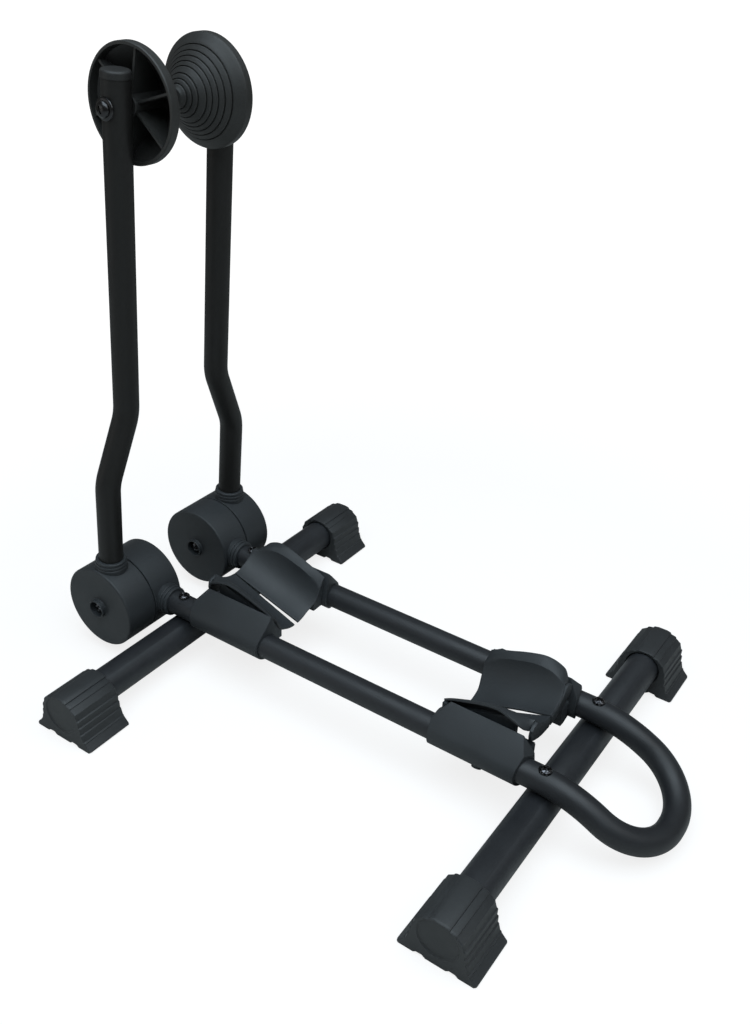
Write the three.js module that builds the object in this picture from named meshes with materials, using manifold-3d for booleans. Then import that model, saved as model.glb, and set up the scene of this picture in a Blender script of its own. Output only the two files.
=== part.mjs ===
// Floor bike rack. Millimetres, +Z up, +X from the drums towards the loop, +Y to the right side.
// The left (near) side is built as the mirror of the right side.
import * as THREE from 'three';
import { mergeVertices } from 'three/addons/utils/BufferGeometryUtils.js';
import Module from 'manifold-3d';

const wasm = await Module();
wasm.setup();

// ---------------------------------------------------------------- clearances
const SEAT_GAP = 0.3; // between pieces that sit on or in one another
const TURN_GAP = 0.1; // radial, between a shaft and what turns on it
const OVERSHOOT = 2; // how far a cutting shape runs past the face it opens

// ---------------------------------------------------------------- frame tubes
const TUBE_RADIUS = 11; // hoop and arms
const TUBE_WALL = 1.5;
const CROSS_RADIUS = 15;
const CROSS_WALL = 2.5;
const CROSS_HEIGHT = 25.6; // cross tube axis above the floor
const CROSS_SPACING = 373.6; // rear to front cross tube axis
const FOOT_SPREAD = 406; // over the outer ends of the feet
const LEG_Y = 49.3; // leg axis from the middle of the rack
const SADDLE_DEPTH = 1.2; // how far a leg sinks into a cross tube
const LEG_HEIGHT = CROSS_HEIGHT + CROSS_RADIUS + TUBE_RADIUS - SADDLE_DEPTH;

// ---------------------------------------------------------------- front loop
const BEND_BEFORE_CROSS = 5.6; // the bend starts this far behind the front cross tube axis
const DROP_RADIUS = 115;
const DROP_ANGLE = THREE.MathUtils.degToRad(27.1);
const DROP_STRAIGHT = 2;
const LOOP_NOSE_FLAT = 4.2; // straight stretch at the middle of the loop
const LOOP_RADIUS = LEG_Y - LOOP_NOSE_FLAT / 2;

// ---------------------------------------------------------------- hinge drums
const DRUM_BEHIND_CROSS = 61.5; // drum axis behind the rear cross tube axis
const DRUM_RADIUS = 40;
const DRUM_HALF_WIDTH = 31.9; // thickness of one half
const DRUM_INNER_Y = 33.35; // inner face of the inner half
const DRUM_EDGE = 3.5; // rounding of the face edge
const DRUM_FLOOR = 5; // face wall of a half
const DRUM_RIM = 10; // rim wall of a half
const DRUM_CORE_RADIUS = 12;
const BOSS_RADIUS = 8.6;
const BOSS_HEIGHT = 3.5;
const BOSS_POCKET_RADIUS = 6.8;
const BOSS_POCKET_DEPTH = 5;
const SOCKET_RADIUS = 14.5; // around the tube, inside the drum
const SOCKET_START = 18; // tube end from the drum axis
const COLLAR_BASE_RADIUS = 15;
const COLLAR_BASE_REACH = 44.5; // from the drum axis
const COLLAR_NECK_RADIUS = 13;
const COLLAR_NECK_REACH = 49.3;
const DISC_THICKNESS = 3;
const DISC_RADIUS = 34;
const DRUM_SPLIT_Y = DRUM_INNER_Y + DRUM_HALF_WIDTH;
const DRUM_OUTER_Y = DRUM_SPLIT_Y + SEAT_GAP;
const DRUM_FACE_Y = DRUM_OUTER_Y + DRUM_HALF_WIDTH;

// ---------------------------------------------------------------- arms
const ARM_LEAN = THREE.MathUtils.degToRad(4.5); // towards +X
const ARM_LOW_Y = 81.5;
const ARM_HIGH_Y = 56.8;
const ARM_CORNER_LOW = 128; // along the arm from the drum axis
const ARM_CORNER_HIGH = 189;
const ARM_BEND_RADIUS = 45;
const ARM_LENGTH = 468.5; // drum axis to the top of the cap
const CAP_RIM_HEIGHT = 6;
const CAP_PLUG_DEPTH = 12;
const CAP_RIM_RADIUS = 11.4;
const CAP_EDGE = 2;

// ---------------------------------------------------------------- cones
const CONE_BELOW_TOP = 26.5; // bolt axis below the top of the cap
const CONE_RIM_RADIUS = 43.9;
const CONE_BACK_Y = ARM_HIGH_Y - TUBE_RADIUS - SEAT_GAP;
const CONE_BOSS_RADIUS = 8;
const CONE_BOSS_LENGTH = 17.5;
const CONE_RIB_COUNT = 6;
const CONE_RIB_THICKNESS = 2;
const CONE_BACK_SETBACK = 0.8; // the rim's back edge, in front of the boss end
const CONE_RIB_SETBACK = 2.5; // the ribs' back edge, in front of the boss end

// ---------------------------------------------------------------- screws
const BOLT_RADIUS = 3;
const BOLT_HEAD_RADIUS = 6.2;
const BOLT_HEAD_HEIGHT = 3.2;
const NUT_RADIUS = 5.7; // over the corners
const NUT_HEIGHT = 4;
const WASHER_RADIUS = 8.5;
const WASHER_THICKNESS = 1.5;
const SCREW_RADIUS = 2.5;
const SCREW_HEAD_RADIUS = 5.2;
const SCREW_HEAD_HEIGHT = 3;
const SCREW_TIP_INSIDE = 4; // past the cross tube's wall
const CROSS_SLOT_WIDTH = 1.5; // of the cross recess in a screw head
const CROSS_SLOT_DEPTH = 1.6;

// ---------------------------------------------------------------- feet
const FOOT_WIDTH = 65; // over the flared base, along X
const FOOT_LENGTH = 45.5;
const FOOT_TOP = 44;
const FOOT_END_WALL = 4;
const FOOT_MOUTH_RADIUS = 18.5;
const FOOT_MOUTH_DEPTH = 8;
const FOOT_DISC_RADIUS = 17;
const FOOT_DISC_DEPTH = 0.8;
const FOOT_NOTCH_INNER = 8.5; // the underside has a notch each side of a middle pad
const FOOT_NOTCH_OUTER = 19;
const FOOT_NOTCH_RISE = 2.2;
const FOOT_STEP = 0.9; // depth of the lengthwise ridges

// ---------------------------------------------------------------- tyre trays
const TRAY_LENGTH = 87.3;
const TRAY_FRONT_BEHIND_CROSS = 58.6; // tray centre to the front cross tube axis
const TRAY_REAR_BEFORE_CROSS = 56.6; // tray centre to the rear cross tube axis
const SLEEVE_WALL = 2.5;
const SLEEVE_RADIUS = TUBE_RADIUS + SLEEVE_WALL;
const LOW_END_INSET = 4; // how much shorter the ends are on the outer side
const HIGH_END_INSET = 6;
const ROOF_INWARD = 6.3; // roof edge from the leg axis, towards the middle
const ROOF_UP = 25;
const ROOF_CORNER_Z = 10; // above this the roof's end corners are cut back
const LONG_CORNER_CUT = 12; // at the end towards the drums
const SHORT_CORNER_CUT = 4.5; // at the end towards the loop
const TROUGH_RADIUS = 33;
const TROUGH_WALL = 3;
const TROUGH_SLOPE = THREE.MathUtils.degToRad(19);
const TROUGH_ABOVE_LEG = 6; // trough bottom above the leg axis at the tray centre
const TROUGH_HALF_LENGTH = 38.6;
const TRAY_SLIT = 1.5; // between the two halves of a tray
const WING_HEIGHT = 30; // ridge above the trough bottom, square to the slope
const WING_RIDGE_Y = 38.9;
const HIGH_ROUND = 24.6; // length of the large round at the wing's high end
const HIGH_EDGE_LEAN = 4.1; // the end edge runs back by this much below the round
const LOW_ROUND = 7;
const WEB_FOOT_Z = -6; // bottom of the web under the trough, from the leg axis
const WEB_BRIDGE_TOP = 15.6;
const WEB_LOW_TOP = 8; // top of the part of the web that runs the whole length
const WEB_INNER_Y = 24;
const WEB_OUTER_Y = 36;
const WEB_HIGH_END = 20; // the web stops here and leaves a gap below the high end
const SKIRT_DEPTH = 8; // of the arched flange under the trough's high end
const SKIRT_THICKNESS = 3;
const SKIRT_OUTER_Y = 27;
const CLAMP_FROM_CENTRE = 22;
const CLAMP_TILT = THREE.MathUtils.degToRad(24); // from upright, towards the middle
const CLAMP_HEAD_START = 19.5; // underside of the screw head from the leg axis
const CLAMP_HEAD_RADIUS = 3.4;
const CLAMP_HEAD_HEIGHT = 2.4;
const CLAMP_RADIUS = 1.8;

// ---------------------------------------------------------------- fineness
const TUBE_SIDES = 16;
const ROUND_SIDES = 24;
const CROSS_SIDES = 20;
const TROUGH_STEPS = 7;
const SMALL_SIDES = 12;

// ---------------------------------------------------------------- materials
function finish(color, roughness, metalness) {
  return () => new THREE.MeshStandardMaterial({ color, roughness, metalness });
}
const coatedTube = finish(0x1f2326, 0.42, 0.2);
const mouldedPlastic = finish(0x23272a, 0.6, 0);
const softRubber = finish(0x1e2123, 0.8, 0);
const blackScrew = finish(0x121315, 0.22, 0.7);
const plainSteel = finish(0x8c8f92, 0.35, 0.9);
const frictionPad = finish(0x2e2b28, 0.9, 0);

// ---------------------------------------------------------------- solids
function solid(geometry) {
  const bare = geometry.clone();
  bare.deleteAttribute('normal');
  bare.deleteAttribute('uv');
  const merged = mergeVertices(bare, 1e-4);
  const at = merged.attributes.position;
  const corners = [];
  let volume = 0;
  const a = new THREE.Vector3();
  const b = new THREE.Vector3();
  const c = new THREE.Vector3();
  for (let i = 0; i < merged.index.count; i += 3) {
    const [p, q, r] = [0, 1, 2].map((k) => merged.index.getX(i + k));
    if (p === q || q === r || r === p) continue;
    corners.push([p, q, r]);
    volume += a.fromBufferAttribute(at, p).dot(b.fromBufferAttribute(at, q).cross(c.fromBufferAttribute(at, r)));
  }
  const outward = volume > 0 ? corners : corners.map(([p, q, r]) => [p, r, q]);
  return new wasm.Manifold(new wasm.Mesh({
    numProp: 3,
    vertProperties: new Float32Array(at.array),
    triVerts: new Uint32Array(outward.flat()),
  }));
}

function geometryOf(body) {
  const mesh = body.getMesh();
  const geometry = new THREE.BufferGeometry();
  geometry.setAttribute('position', new THREE.BufferAttribute(new Float32Array(mesh.vertProperties), 3));
  geometry.setIndex(new THREE.BufferAttribute(new Uint32Array(mesh.triVerts), 1));
  geometry.computeVertexNormals();
  return geometry;
}

// The same geometry reflected in X, in Y or in both.
function reflected(geometry, alongX, alongY) {
  const copy = geometry.clone().scale(alongX, alongY, 1);
  if (alongX * alongY < 0) {
    const index = copy.index.array;
    for (let i = 0; i < index.length; i += 3) {
      [index[i + 1], index[i + 2]] = [index[i + 2], index[i + 1]];
    }
  }
  copy.computeVertexNormals();
  return copy;
}

// Round bar along an axis letter, from one coordinate to another on that axis.
function bar(axis, radius, from, to, sides = TUBE_SIDES) {
  const geometry = new THREE.CylinderGeometry(radius, radius, to - from, sides);
  geometry.translate(0, (from + to) / 2, 0);
  if (axis === 'x') geometry.rotateZ(-Math.PI / 2);
  if (axis === 'z') geometry.rotateX(Math.PI / 2);
  return geometry;
}

// Body turned about the Y axis from [radius, y] points.
function turned(points, sides = ROUND_SIDES) {
  return new THREE.LatheGeometry(points.map(([r, y]) => new THREE.Vector2(r, y)), sides);
}

function block(x0, x1, y0, y1, z0, z1) {
  const geometry = new THREE.BoxGeometry(x1 - x0, y1 - y0, z1 - z0);
  return geometry.translate((x0 + x1) / 2, (y0 + y1) / 2, (z0 + z1) / 2);
}

// Outline in (x, z) carried along Y from y0 to y1.
function slabXZ(shape, y0, y1) {
  const geometry = new THREE.ExtrudeGeometry(shape, { depth: y1 - y0, bevelEnabled: false, curveSegments: 6 });
  geometry.rotateX(Math.PI / 2);
  return geometry.translate(0, y1, 0);
}

// Outline in (y, z) carried along X from x0 to x1.
function slabYZ(shape, x0, x1) {
  const geometry = new THREE.ExtrudeGeometry(shape, { depth: x1 - x0, bevelEnabled: false, curveSegments: 10 });
  const turn = new THREE.Matrix4().makeBasis(
    new THREE.Vector3(0, 1, 0),
    new THREE.Vector3(0, 0, 1),
    new THREE.Vector3(1, 0, 0),
  );
  geometry.applyMatrix4(turn);
  return geometry.translate(x0, 0, 0);
}

// Outline in (x, y) carried up Z from z0 to z1.
function slabXY(shape, z0, z1) {
  const geometry = new THREE.ExtrudeGeometry(shape, { depth: z1 - z0, bevelEnabled: false });
  return geometry.translate(0, 0, z0);
}

function outline(points) {
  return new THREE.Shape(points.map(([x, y]) => new THREE.Vector2(x, y)));
}

// ---------------------------------------------------------------- bent tubes
class Route extends THREE.Curve {
  constructor(start, heading) {
    super();
    this.stations = [{ point: start.clone(), tangent: heading.clone().normalize() }];
  }

  last() {
    return this.stations[this.stations.length - 1];
  }

  straight(length) {
    const { point, tangent } = this.last();
    this.stations.push({ point: point.clone().addScaledVector(tangent, length), tangent: tangent.clone() });
    return this;
  }

  bend(radius, angle, toward, steps) {
    const { point, tangent } = this.last();
    const centre = point.clone().addScaledVector(toward, radius);
    const axis = tangent.clone().cross(toward).normalize();
    for (let i = 1; i <= steps; i += 1) {
      const turn = (angle * i) / steps;
      this.stations.push({
        point: point.clone().sub(centre).applyAxisAngle(axis, turn).add(centre),
        tangent: tangent.clone().applyAxisAngle(axis, turn),
      });
    }
    return this;
  }

  getPointAt(u) {
    return this.stations[Math.round(u * (this.stations.length - 1))].point.clone();
  }

  getTangentAt(u) {
    return this.stations[Math.round(u * (this.stations.length - 1))].tangent.clone();
  }
}

function rodAlong(route, radius) {
  const round = outline(Array.from({ length: TUBE_SIDES }, (_, i) => {
    const turn = (2 * Math.PI * (i + 0.5)) / TUBE_SIDES;
    return [radius * Math.cos(turn), radius * Math.sin(turn)];
  }));
  const steps = route.stations.length - 1;
  return solid(new THREE.ExtrudeGeometry(round, { steps, extrudePath: route, bevelEnabled: false }));
}

function pipeAlong(route, bore) {
  return rodAlong(route, TUBE_RADIUS).subtract(rodAlong(bore, TUBE_RADIUS - TUBE_WALL));
}

// ---------------------------------------------------------------- hoop frame
// One tube: left leg, drop, loop, drop, right leg.
function hoopRoute(extra) {
  const legStart = -DRUM_BEHIND_CROSS + SOCKET_START - extra;
  const legLength = CROSS_SPACING - BEND_BEFORE_CROSS - legStart;
  const down = new THREE.Vector3(0, 0, -1);
  const forward = new THREE.Vector3(Math.cos(DROP_ANGLE), 0, -Math.sin(DROP_ANGLE));
  const under = new THREE.Vector3(-Math.sin(DROP_ANGLE), 0, -Math.cos(DROP_ANGLE));
  return new Route(new THREE.Vector3(legStart, -LEG_Y, LEG_HEIGHT), new THREE.Vector3(1, 0, 0))
    .straight(legLength)
    .bend(DROP_RADIUS, DROP_ANGLE, down, 4)
    .straight(DROP_STRAIGHT)
    .bend(LOOP_RADIUS, Math.PI / 2, new THREE.Vector3(0, 1, 0), 7)
    .straight(LOOP_NOSE_FLAT)
    .bend(LOOP_RADIUS, Math.PI / 2, forward.clone().negate(), 7)
    .straight(DROP_STRAIGHT)
    .bend(DROP_RADIUS, DROP_ANGLE, under, 4)
    .straight(legLength);
}

function screwHoles(radius, z0, z1) {
  const holes = [];
  for (const x of [0, CROSS_SPACING]) {
    for (const side of [-1, 1]) {
      holes.push(solid(bar('z', radius, z0, z1, SMALL_SIDES).translate(x, side * LEG_Y, 0)));
    }
  }
  return holes;
}

function hoopFrame() {
  let body = pipeAlong(hoopRoute(0), hoopRoute(OVERSHOOT));
  const bottom = LEG_HEIGHT - TUBE_RADIUS - OVERSHOOT;
  const top = LEG_HEIGHT + TUBE_RADIUS + OVERSHOOT;
  for (const hole of screwHoles(SCREW_RADIUS + SEAT_GAP, bottom, top)) {
    body = body.subtract(hole);
  }
  return geometryOf(body);
}

// Straight tube along Y with a shallow saddle and a screw hole under each leg.
function crossTube(atX) {
  const end = FOOT_SPREAD / 2 - FOOT_END_WALL - SEAT_GAP;
  const outer = solid(bar('y', CROSS_RADIUS, -end, end, CROSS_SIDES).translate(0, 0, CROSS_HEIGHT));
  const reach = end + OVERSHOOT;
  const inner = solid(bar('y', CROSS_RADIUS - CROSS_WALL, -reach, reach, CROSS_SIDES).translate(0, 0, CROSS_HEIGHT));
  let body = outer.subtract(inner);
  body = body.subtract(rodAlong(hoopRoute(0), TUBE_RADIUS + SEAT_GAP).translate([-atX, 0, 0]));
  for (const side of [-1, 1]) {
    const hole = bar('z', SCREW_RADIUS + SEAT_GAP, CROSS_HEIGHT, LEG_HEIGHT, SMALL_SIDES);
    body = body.subtract(solid(hole.translate(0, side * LEG_Y, 0)));
  }
  return geometryOf(body);
}

// ---------------------------------------------------------------- feet
// Half of the ridged bell section as [x, z] points from the base to the top.
function footHalfSection() {
  const base = FOOT_WIDTH / 2;
  const rings = [
    [base - 5.6, 8.6], [base - 8.3, 15.4], [base - 9.6, 22.4], [base - 10.7, 29.2],
    [base - 13.5, 35.6], [base - 18.7, 40.2], [base - 24.2, 42.8],
  ];
  const points = [[base, 0], [base, 1.6]];
  for (const [x, z] of rings) {
    points.push([x, z]);
    points.push([x - FOOT_STEP, z + FOOT_STEP * 0.6]);
  }
  points.push([base - 28.5, FOOT_TOP]);
  return points;
}

function foot() {
  const right = footHalfSection();
  const left = right.map(([x, z]) => [-x, z]).reverse();
  const notch = [
    [FOOT_NOTCH_INNER, 0], [FOOT_NOTCH_INNER + 3, FOOT_NOTCH_RISE],
    [FOOT_NOTCH_OUTER - 3, FOOT_NOTCH_RISE], [FOOT_NOTCH_OUTER, 0],
  ];
  const arch = [...notch.map(([x, z]) => [-x, z]).reverse(), ...notch];
  const inner = FOOT_SPREAD / 2 - FOOT_LENGTH;
  const outer = FOOT_SPREAD / 2;
  let body = solid(slabXZ(outline([...right, ...left, ...arch]), inner, outer));
  const bore = bar('y', CROSS_RADIUS + SEAT_GAP, inner - OVERSHOOT, outer - FOOT_END_WALL, CROSS_SIDES);
  const mouth = bar('y', FOOT_MOUTH_RADIUS, inner - OVERSHOOT, inner + FOOT_MOUTH_DEPTH, CROSS_SIDES);
  const disc = bar('y', FOOT_DISC_RADIUS, outer - FOOT_DISC_DEPTH, outer + OVERSHOOT, CROSS_SIDES);
  for (const cut of [bore, mouth, disc]) {
    body = body.subtract(solid(cut.translate(0, 0, CROSS_HEIGHT)));
  }
  return geometryOf(body);
}

// ---------------------------------------------------------------- drums
// Stepped collar around a tube that leaves the drum along an axis letter.
function socket(axis) {
  return solid(bar(axis, SOCKET_RADIUS, DRUM_CORE_RADIUS - 2, DRUM_RADIUS - 2))
    .add(solid(bar(axis, COLLAR_BASE_RADIUS, DRUM_RADIUS - DRUM_RIM + 2, COLLAR_BASE_REACH)))
    .add(solid(bar(axis, COLLAR_NECK_RADIUS, DRUM_RADIUS - DRUM_RIM + 2, COLLAR_NECK_REACH)));
}

// Edge points of a disc face at y, rounded towards the body; step is +1 when the body lies at larger y.
function roundedEdge(radius, y, edge, step) {
  const points = [];
  for (let i = 0; i <= 2; i += 1) {
    const turn = (Math.PI / 2) * (i / 2);
    points.push([radius - edge * (1 - Math.sin(turn)), y + step * edge * (1 - Math.cos(turn))]);
  }
  return points;
}

function drumInnerHalf() {
  const hole = BOLT_RADIUS + SEAT_GAP;
  const boss = DRUM_INNER_Y - BOSS_HEIGHT;
  const pocket = boss + BOSS_POCKET_DEPTH;
  const floor = DRUM_SPLIT_Y - DISC_THICKNESS - SEAT_GAP;
  const cell = DRUM_RADIUS - DRUM_RIM;
  const profile = [
    [hole, pocket], [BOSS_POCKET_RADIUS, pocket], [BOSS_POCKET_RADIUS, boss], [BOSS_RADIUS - 0.6, boss],
    [BOSS_RADIUS, boss + 0.6], [BOSS_RADIUS, DRUM_INNER_Y],
    ...roundedEdge(DRUM_RADIUS, DRUM_INNER_Y, DRUM_EDGE, 1),
    [DRUM_RADIUS, DRUM_SPLIT_Y - 0.5], [DRUM_RADIUS - 0.5, DRUM_SPLIT_Y],
    [DISC_RADIUS + SEAT_GAP, DRUM_SPLIT_Y], [DISC_RADIUS + SEAT_GAP, floor], [cell, floor],
    [cell, DRUM_INNER_Y + DRUM_FLOOR], [DRUM_CORE_RADIUS, DRUM_INNER_Y + DRUM_FLOOR],
    [DRUM_CORE_RADIUS, floor], [hole, floor], [hole, pocket],
  ];
  const tubeBore = bar('x', TUBE_RADIUS + SEAT_GAP, SOCKET_START - SEAT_GAP, COLLAR_NECK_REACH + OVERSHOOT);
  const recess = bar('y', DISC_RADIUS + SEAT_GAP, floor, DRUM_OUTER_Y + OVERSHOOT, ROUND_SIDES);
  return geometryOf(
    solid(turned(profile))
      .add(socket('x').translate([0, LEG_Y, 0]))
      .subtract(solid(tubeBore.translate(0, LEG_Y, 0)))
      .subtract(solid(recess)),
  );
}

function drumOuterHalf() {
  const hole = BOLT_RADIUS + TURN_GAP;
  const boss = DRUM_FACE_Y + BOSS_HEIGHT;
  const pocket = boss - BOSS_POCKET_DEPTH;
  const cell = DRUM_RADIUS - DRUM_RIM;
  const profile = [
    [hole, DRUM_OUTER_Y], [DRUM_CORE_RADIUS, DRUM_OUTER_Y], [DRUM_CORE_RADIUS, DRUM_FACE_Y - DRUM_FLOOR],
    [cell, DRUM_FACE_Y - DRUM_FLOOR], [cell, DRUM_OUTER_Y], [DRUM_RADIUS - 0.5, DRUM_OUTER_Y],
    [DRUM_RADIUS, DRUM_OUTER_Y + 0.5],
    ...roundedEdge(DRUM_RADIUS, DRUM_FACE_Y, DRUM_EDGE, -1).reverse(),
    [BOSS_RADIUS, DRUM_FACE_Y], [BOSS_RADIUS, boss - 0.6], [BOSS_RADIUS - 0.6, boss],
    [BOSS_POCKET_RADIUS, boss], [BOSS_POCKET_RADIUS, pocket], [hole, pocket], [hole, DRUM_OUTER_Y],
  ];
  const tubeBore = bar('z', TUBE_RADIUS + SEAT_GAP, SOCKET_START - SEAT_GAP, COLLAR_NECK_REACH + OVERSHOOT);
  return geometryOf(
    solid(turned(profile))
      .add(socket('z').translate([0, ARM_LOW_Y, 0]))
      .subtract(solid(tubeBore.translate(0, ARM_LOW_Y, 0))),
  );
}

// Lies in the inner half's recess, against the outer half's face.
function frictionDisc() {
  const low = DRUM_SPLIT_Y - DISC_THICKNESS;
  const hole = BOLT_RADIUS + SEAT_GAP;
  return geometryOf(solid(turned([
    [hole, low], [DISC_RADIUS, low], [DISC_RADIUS, DRUM_SPLIT_Y], [hole, DRUM_SPLIT_Y], [hole, low],
  ], TUBE_SIDES)));
}

// ---------------------------------------------------------------- fasteners
// Domed head below y = 0 with a cross recess, shank from 0 to length.
function headedScrew(radius, headRadius, headHeight, length, recess) {
  const profile = [
    [0, -headHeight], [headRadius * 0.45, -headHeight * 0.96], [headRadius * 0.8, -headHeight * 0.7],
    [headRadius, -headHeight * 0.28], [headRadius, 0], [radius, 0], [radius, length - 0.6],
    [radius - 0.6, length], [0, length],
  ];
  let body = solid(turned(profile, SMALL_SIDES));
  if (recess) {
    const half = headRadius * 0.55;
    const bottom = -headHeight + CROSS_SLOT_DEPTH;
    const slotA = block(-half, half, -headHeight - OVERSHOOT, bottom, -CROSS_SLOT_WIDTH / 2, CROSS_SLOT_WIDTH / 2);
    const slotB = block(-CROSS_SLOT_WIDTH / 2, CROSS_SLOT_WIDTH / 2, -headHeight - OVERSHOOT, bottom, -half, half);
    body = body.subtract(solid(slotA).add(solid(slotB)));
  }
  return geometryOf(body);
}

// Six-sided nut from y = 0 to its height.
function nut(hole) {
  const body = solid(bar('y', NUT_RADIUS, 0, NUT_HEIGHT, 6));
  return geometryOf(body.subtract(solid(bar('y', hole, -OVERSHOOT, NUT_HEIGHT + OVERSHOOT, SMALL_SIDES))));
}

function washer() {
  const hole = BOLT_RADIUS + SEAT_GAP;
  return geometryOf(solid(turned([
    [hole, 0], [WASHER_RADIUS, 0], [WASHER_RADIUS, WASHER_THICKNESS - 0.4],
    [WASHER_RADIUS - 0.4, WASHER_THICKNESS], [hole, WASHER_THICKNESS], [hole, 0],
  ], TUBE_SIDES)));
}

// ---------------------------------------------------------------- arms
function armRoute(extra) {
  const sideStep = ARM_LOW_Y - ARM_HIGH_Y;
  const rise = ARM_CORNER_HIGH - ARM_CORNER_LOW;
  const angle = Math.atan2(sideStep, rise);
  const tangentLength = ARM_BEND_RADIUS * Math.tan(angle / 2);
  const inward = new THREE.Vector3(0, -1, 0);
  const outward = new THREE.Vector3(0, Math.cos(angle), Math.sin(angle));
  const top = ARM_LENGTH - CAP_RIM_HEIGHT - SEAT_GAP;
  return new Route(new THREE.Vector3(0, ARM_LOW_Y, SOCKET_START - extra), new THREE.Vector3(0, 0, 1))
    .straight(ARM_CORNER_LOW - tangentLength - SOCKET_START + extra)
    .bend(ARM_BEND_RADIUS, angle, inward, 4)
    .straight(Math.hypot(sideStep, rise) - 2 * tangentLength)
    .bend(ARM_BEND_RADIUS, angle, outward, 4)
    .straight(top - ARM_CORNER_HIGH - tangentLength + extra);
}

function arm() {
  const low = ARM_HIGH_Y - TUBE_RADIUS - OVERSHOOT;
  const high = ARM_HIGH_Y + TUBE_RADIUS + OVERSHOOT;
  const hole = bar('y', BOLT_RADIUS + SEAT_GAP, low, high, SMALL_SIDES);
  hole.translate(0, 0, ARM_LENGTH - CONE_BELOW_TOP);
  return geometryOf(pipeAlong(armRoute(0), armRoute(OVERSHOOT)).subtract(solid(hole)));
}

// Plug with a rounded rim, turned about the arm's own axis.
function armCap() {
  const plug = TUBE_RADIUS - TUBE_WALL - SEAT_GAP;
  const rim = CAP_RIM_HEIGHT;
  const geometry = turned([
    [0, -CAP_PLUG_DEPTH], [plug - 1, -CAP_PLUG_DEPTH], [plug, -CAP_PLUG_DEPTH + 1], [plug, 0],
    [CAP_RIM_RADIUS, 0], [CAP_RIM_RADIUS, rim - CAP_EDGE], [CAP_RIM_RADIUS - 0.6, rim - 0.6],
    [CAP_RIM_RADIUS - CAP_EDGE, rim], [0, rim],
  ], TUBE_SIDES);
  geometry.rotateX(Math.PI / 2);
  return geometryOf(solid(geometry));
}

// ---------------------------------------------------------------- cones
// Stepped outer profile: [radius lost from the rim, distance in front of the boss end].
function coneProfile() {
  const steps = [
    [8.5, 15.5], [8.7, 17], [12.7, 19.5], [12.9, 20.8], [16.2, 23], [16.4, 24.2], [19.9, 26],
    [22.8, 28.5], [23.4, 30], [27.8, 33.5], [28, 34.6], [34.3, 37], [38.2, 42],
  ];
  return steps.map(([lost, ahead]) => [CONE_RIM_RADIUS - lost, CONE_BACK_Y - ahead]);
}

function coneOuter() {
  const back = CONE_BACK_Y - CONE_BACK_SETBACK;
  return [
    [CONE_RIM_RADIUS - 0.4, back], [CONE_RIM_RADIUS, back - 0.6], [CONE_RIM_RADIUS, CONE_BACK_Y - 8],
    [CONE_RIM_RADIUS - 0.8, CONE_BACK_Y - 9.2], [CONE_RIM_RADIUS - 2.6, CONE_BACK_Y - 10.6],
    [CONE_RIM_RADIUS - 5.6, CONE_BACK_Y - 13.4],
    ...coneProfile(),
    [0, CONE_BACK_Y - 42],
  ];
}

function coneInner() {
  const back = CONE_BACK_Y - CONE_BACK_SETBACK;
  const lost = [[2.6, back], [3.4, CONE_BACK_Y - 8], [10.8, CONE_BACK_Y - 13.5], [15.4, CONE_BACK_Y - 17.4],
    [20.8, CONE_BACK_Y - 22.2], [25.6, CONE_BACK_Y - 26], [31, CONE_BACK_Y - 30.6]];
  const points = lost.map(([r, y]) => [CONE_RIM_RADIUS - r, y]);
  return [...points, [0, CONE_BACK_Y - 32.4]];
}

function cone() {
  const shell = solid(turned([...coneOuter().reverse(), ...coneInner()]));
  const bossFront = CONE_BACK_Y - CONE_BOSS_LENGTH;
  const boss = solid(bar('y', CONE_BOSS_RADIUS, bossFront, CONE_BACK_Y));
  const ribEnd = CONE_BACK_Y - CONE_RIB_SETBACK;
  const within = solid(turned([[0, CONE_BACK_Y - 32], [14, CONE_BACK_Y - 30], [29, CONE_BACK_Y - 17.6],
    [34.5, CONE_BACK_Y - 12.6], [41, CONE_BACK_Y - 7], [41.8, ribEnd], [0, ribEnd]]));
  let ribs = null;
  for (let i = 0; i < CONE_RIB_COUNT / 2; i += 1) {
    const half = CONE_RIB_THICKNESS / 2;
    const plate = block(-CONE_RIM_RADIUS, CONE_RIM_RADIUS, bossFront, ribEnd, -half, half);
    plate.rotateY((2 * Math.PI * i) / CONE_RIB_COUNT);
    ribs = ribs ? ribs.add(solid(plate)) : solid(plate);
  }
  const bore = bar('y', BOLT_RADIUS + TURN_GAP, bossFront - OVERSHOOT, CONE_BACK_Y + OVERSHOOT, SMALL_SIDES);
  return geometryOf(shell.add(ribs.intersect(within)).add(boss).subtract(solid(bore)));
}

// ---------------------------------------------------------------- tyre trays
// Right front half; x from the tray centre, y from the middle of the rack, z from the leg axis.
function sleeveSection() {
  const shape = new THREE.Shape();
  const slopeIn = Math.atan2(ROOF_UP, ROOF_INWARD);
  const distance = Math.hypot(ROOF_UP, ROOF_INWARD);
  const spread = Math.acos(SLEEVE_RADIUS / distance);
  const from = slopeIn - spread;
  const to = slopeIn + spread;
  const steps = 11;
  for (let i = 0; i <= steps; i += 1) {
    const turn = to + ((2 * Math.PI - (to - from)) * i) / steps;
    const y = LEG_Y - SLEEVE_RADIUS * Math.cos(turn);
    const z = SLEEVE_RADIUS * Math.sin(turn);
    if (i === 0) shape.moveTo(y, z);
    else shape.lineTo(y, z);
  }
  shape.lineTo(LEG_Y - ROOF_INWARD + 0.6, ROOF_UP - 1.2);
  shape.lineTo(LEG_Y - ROOF_INWARD + 1.2, ROOF_UP - 0.8);
  return shape;
}

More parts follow.
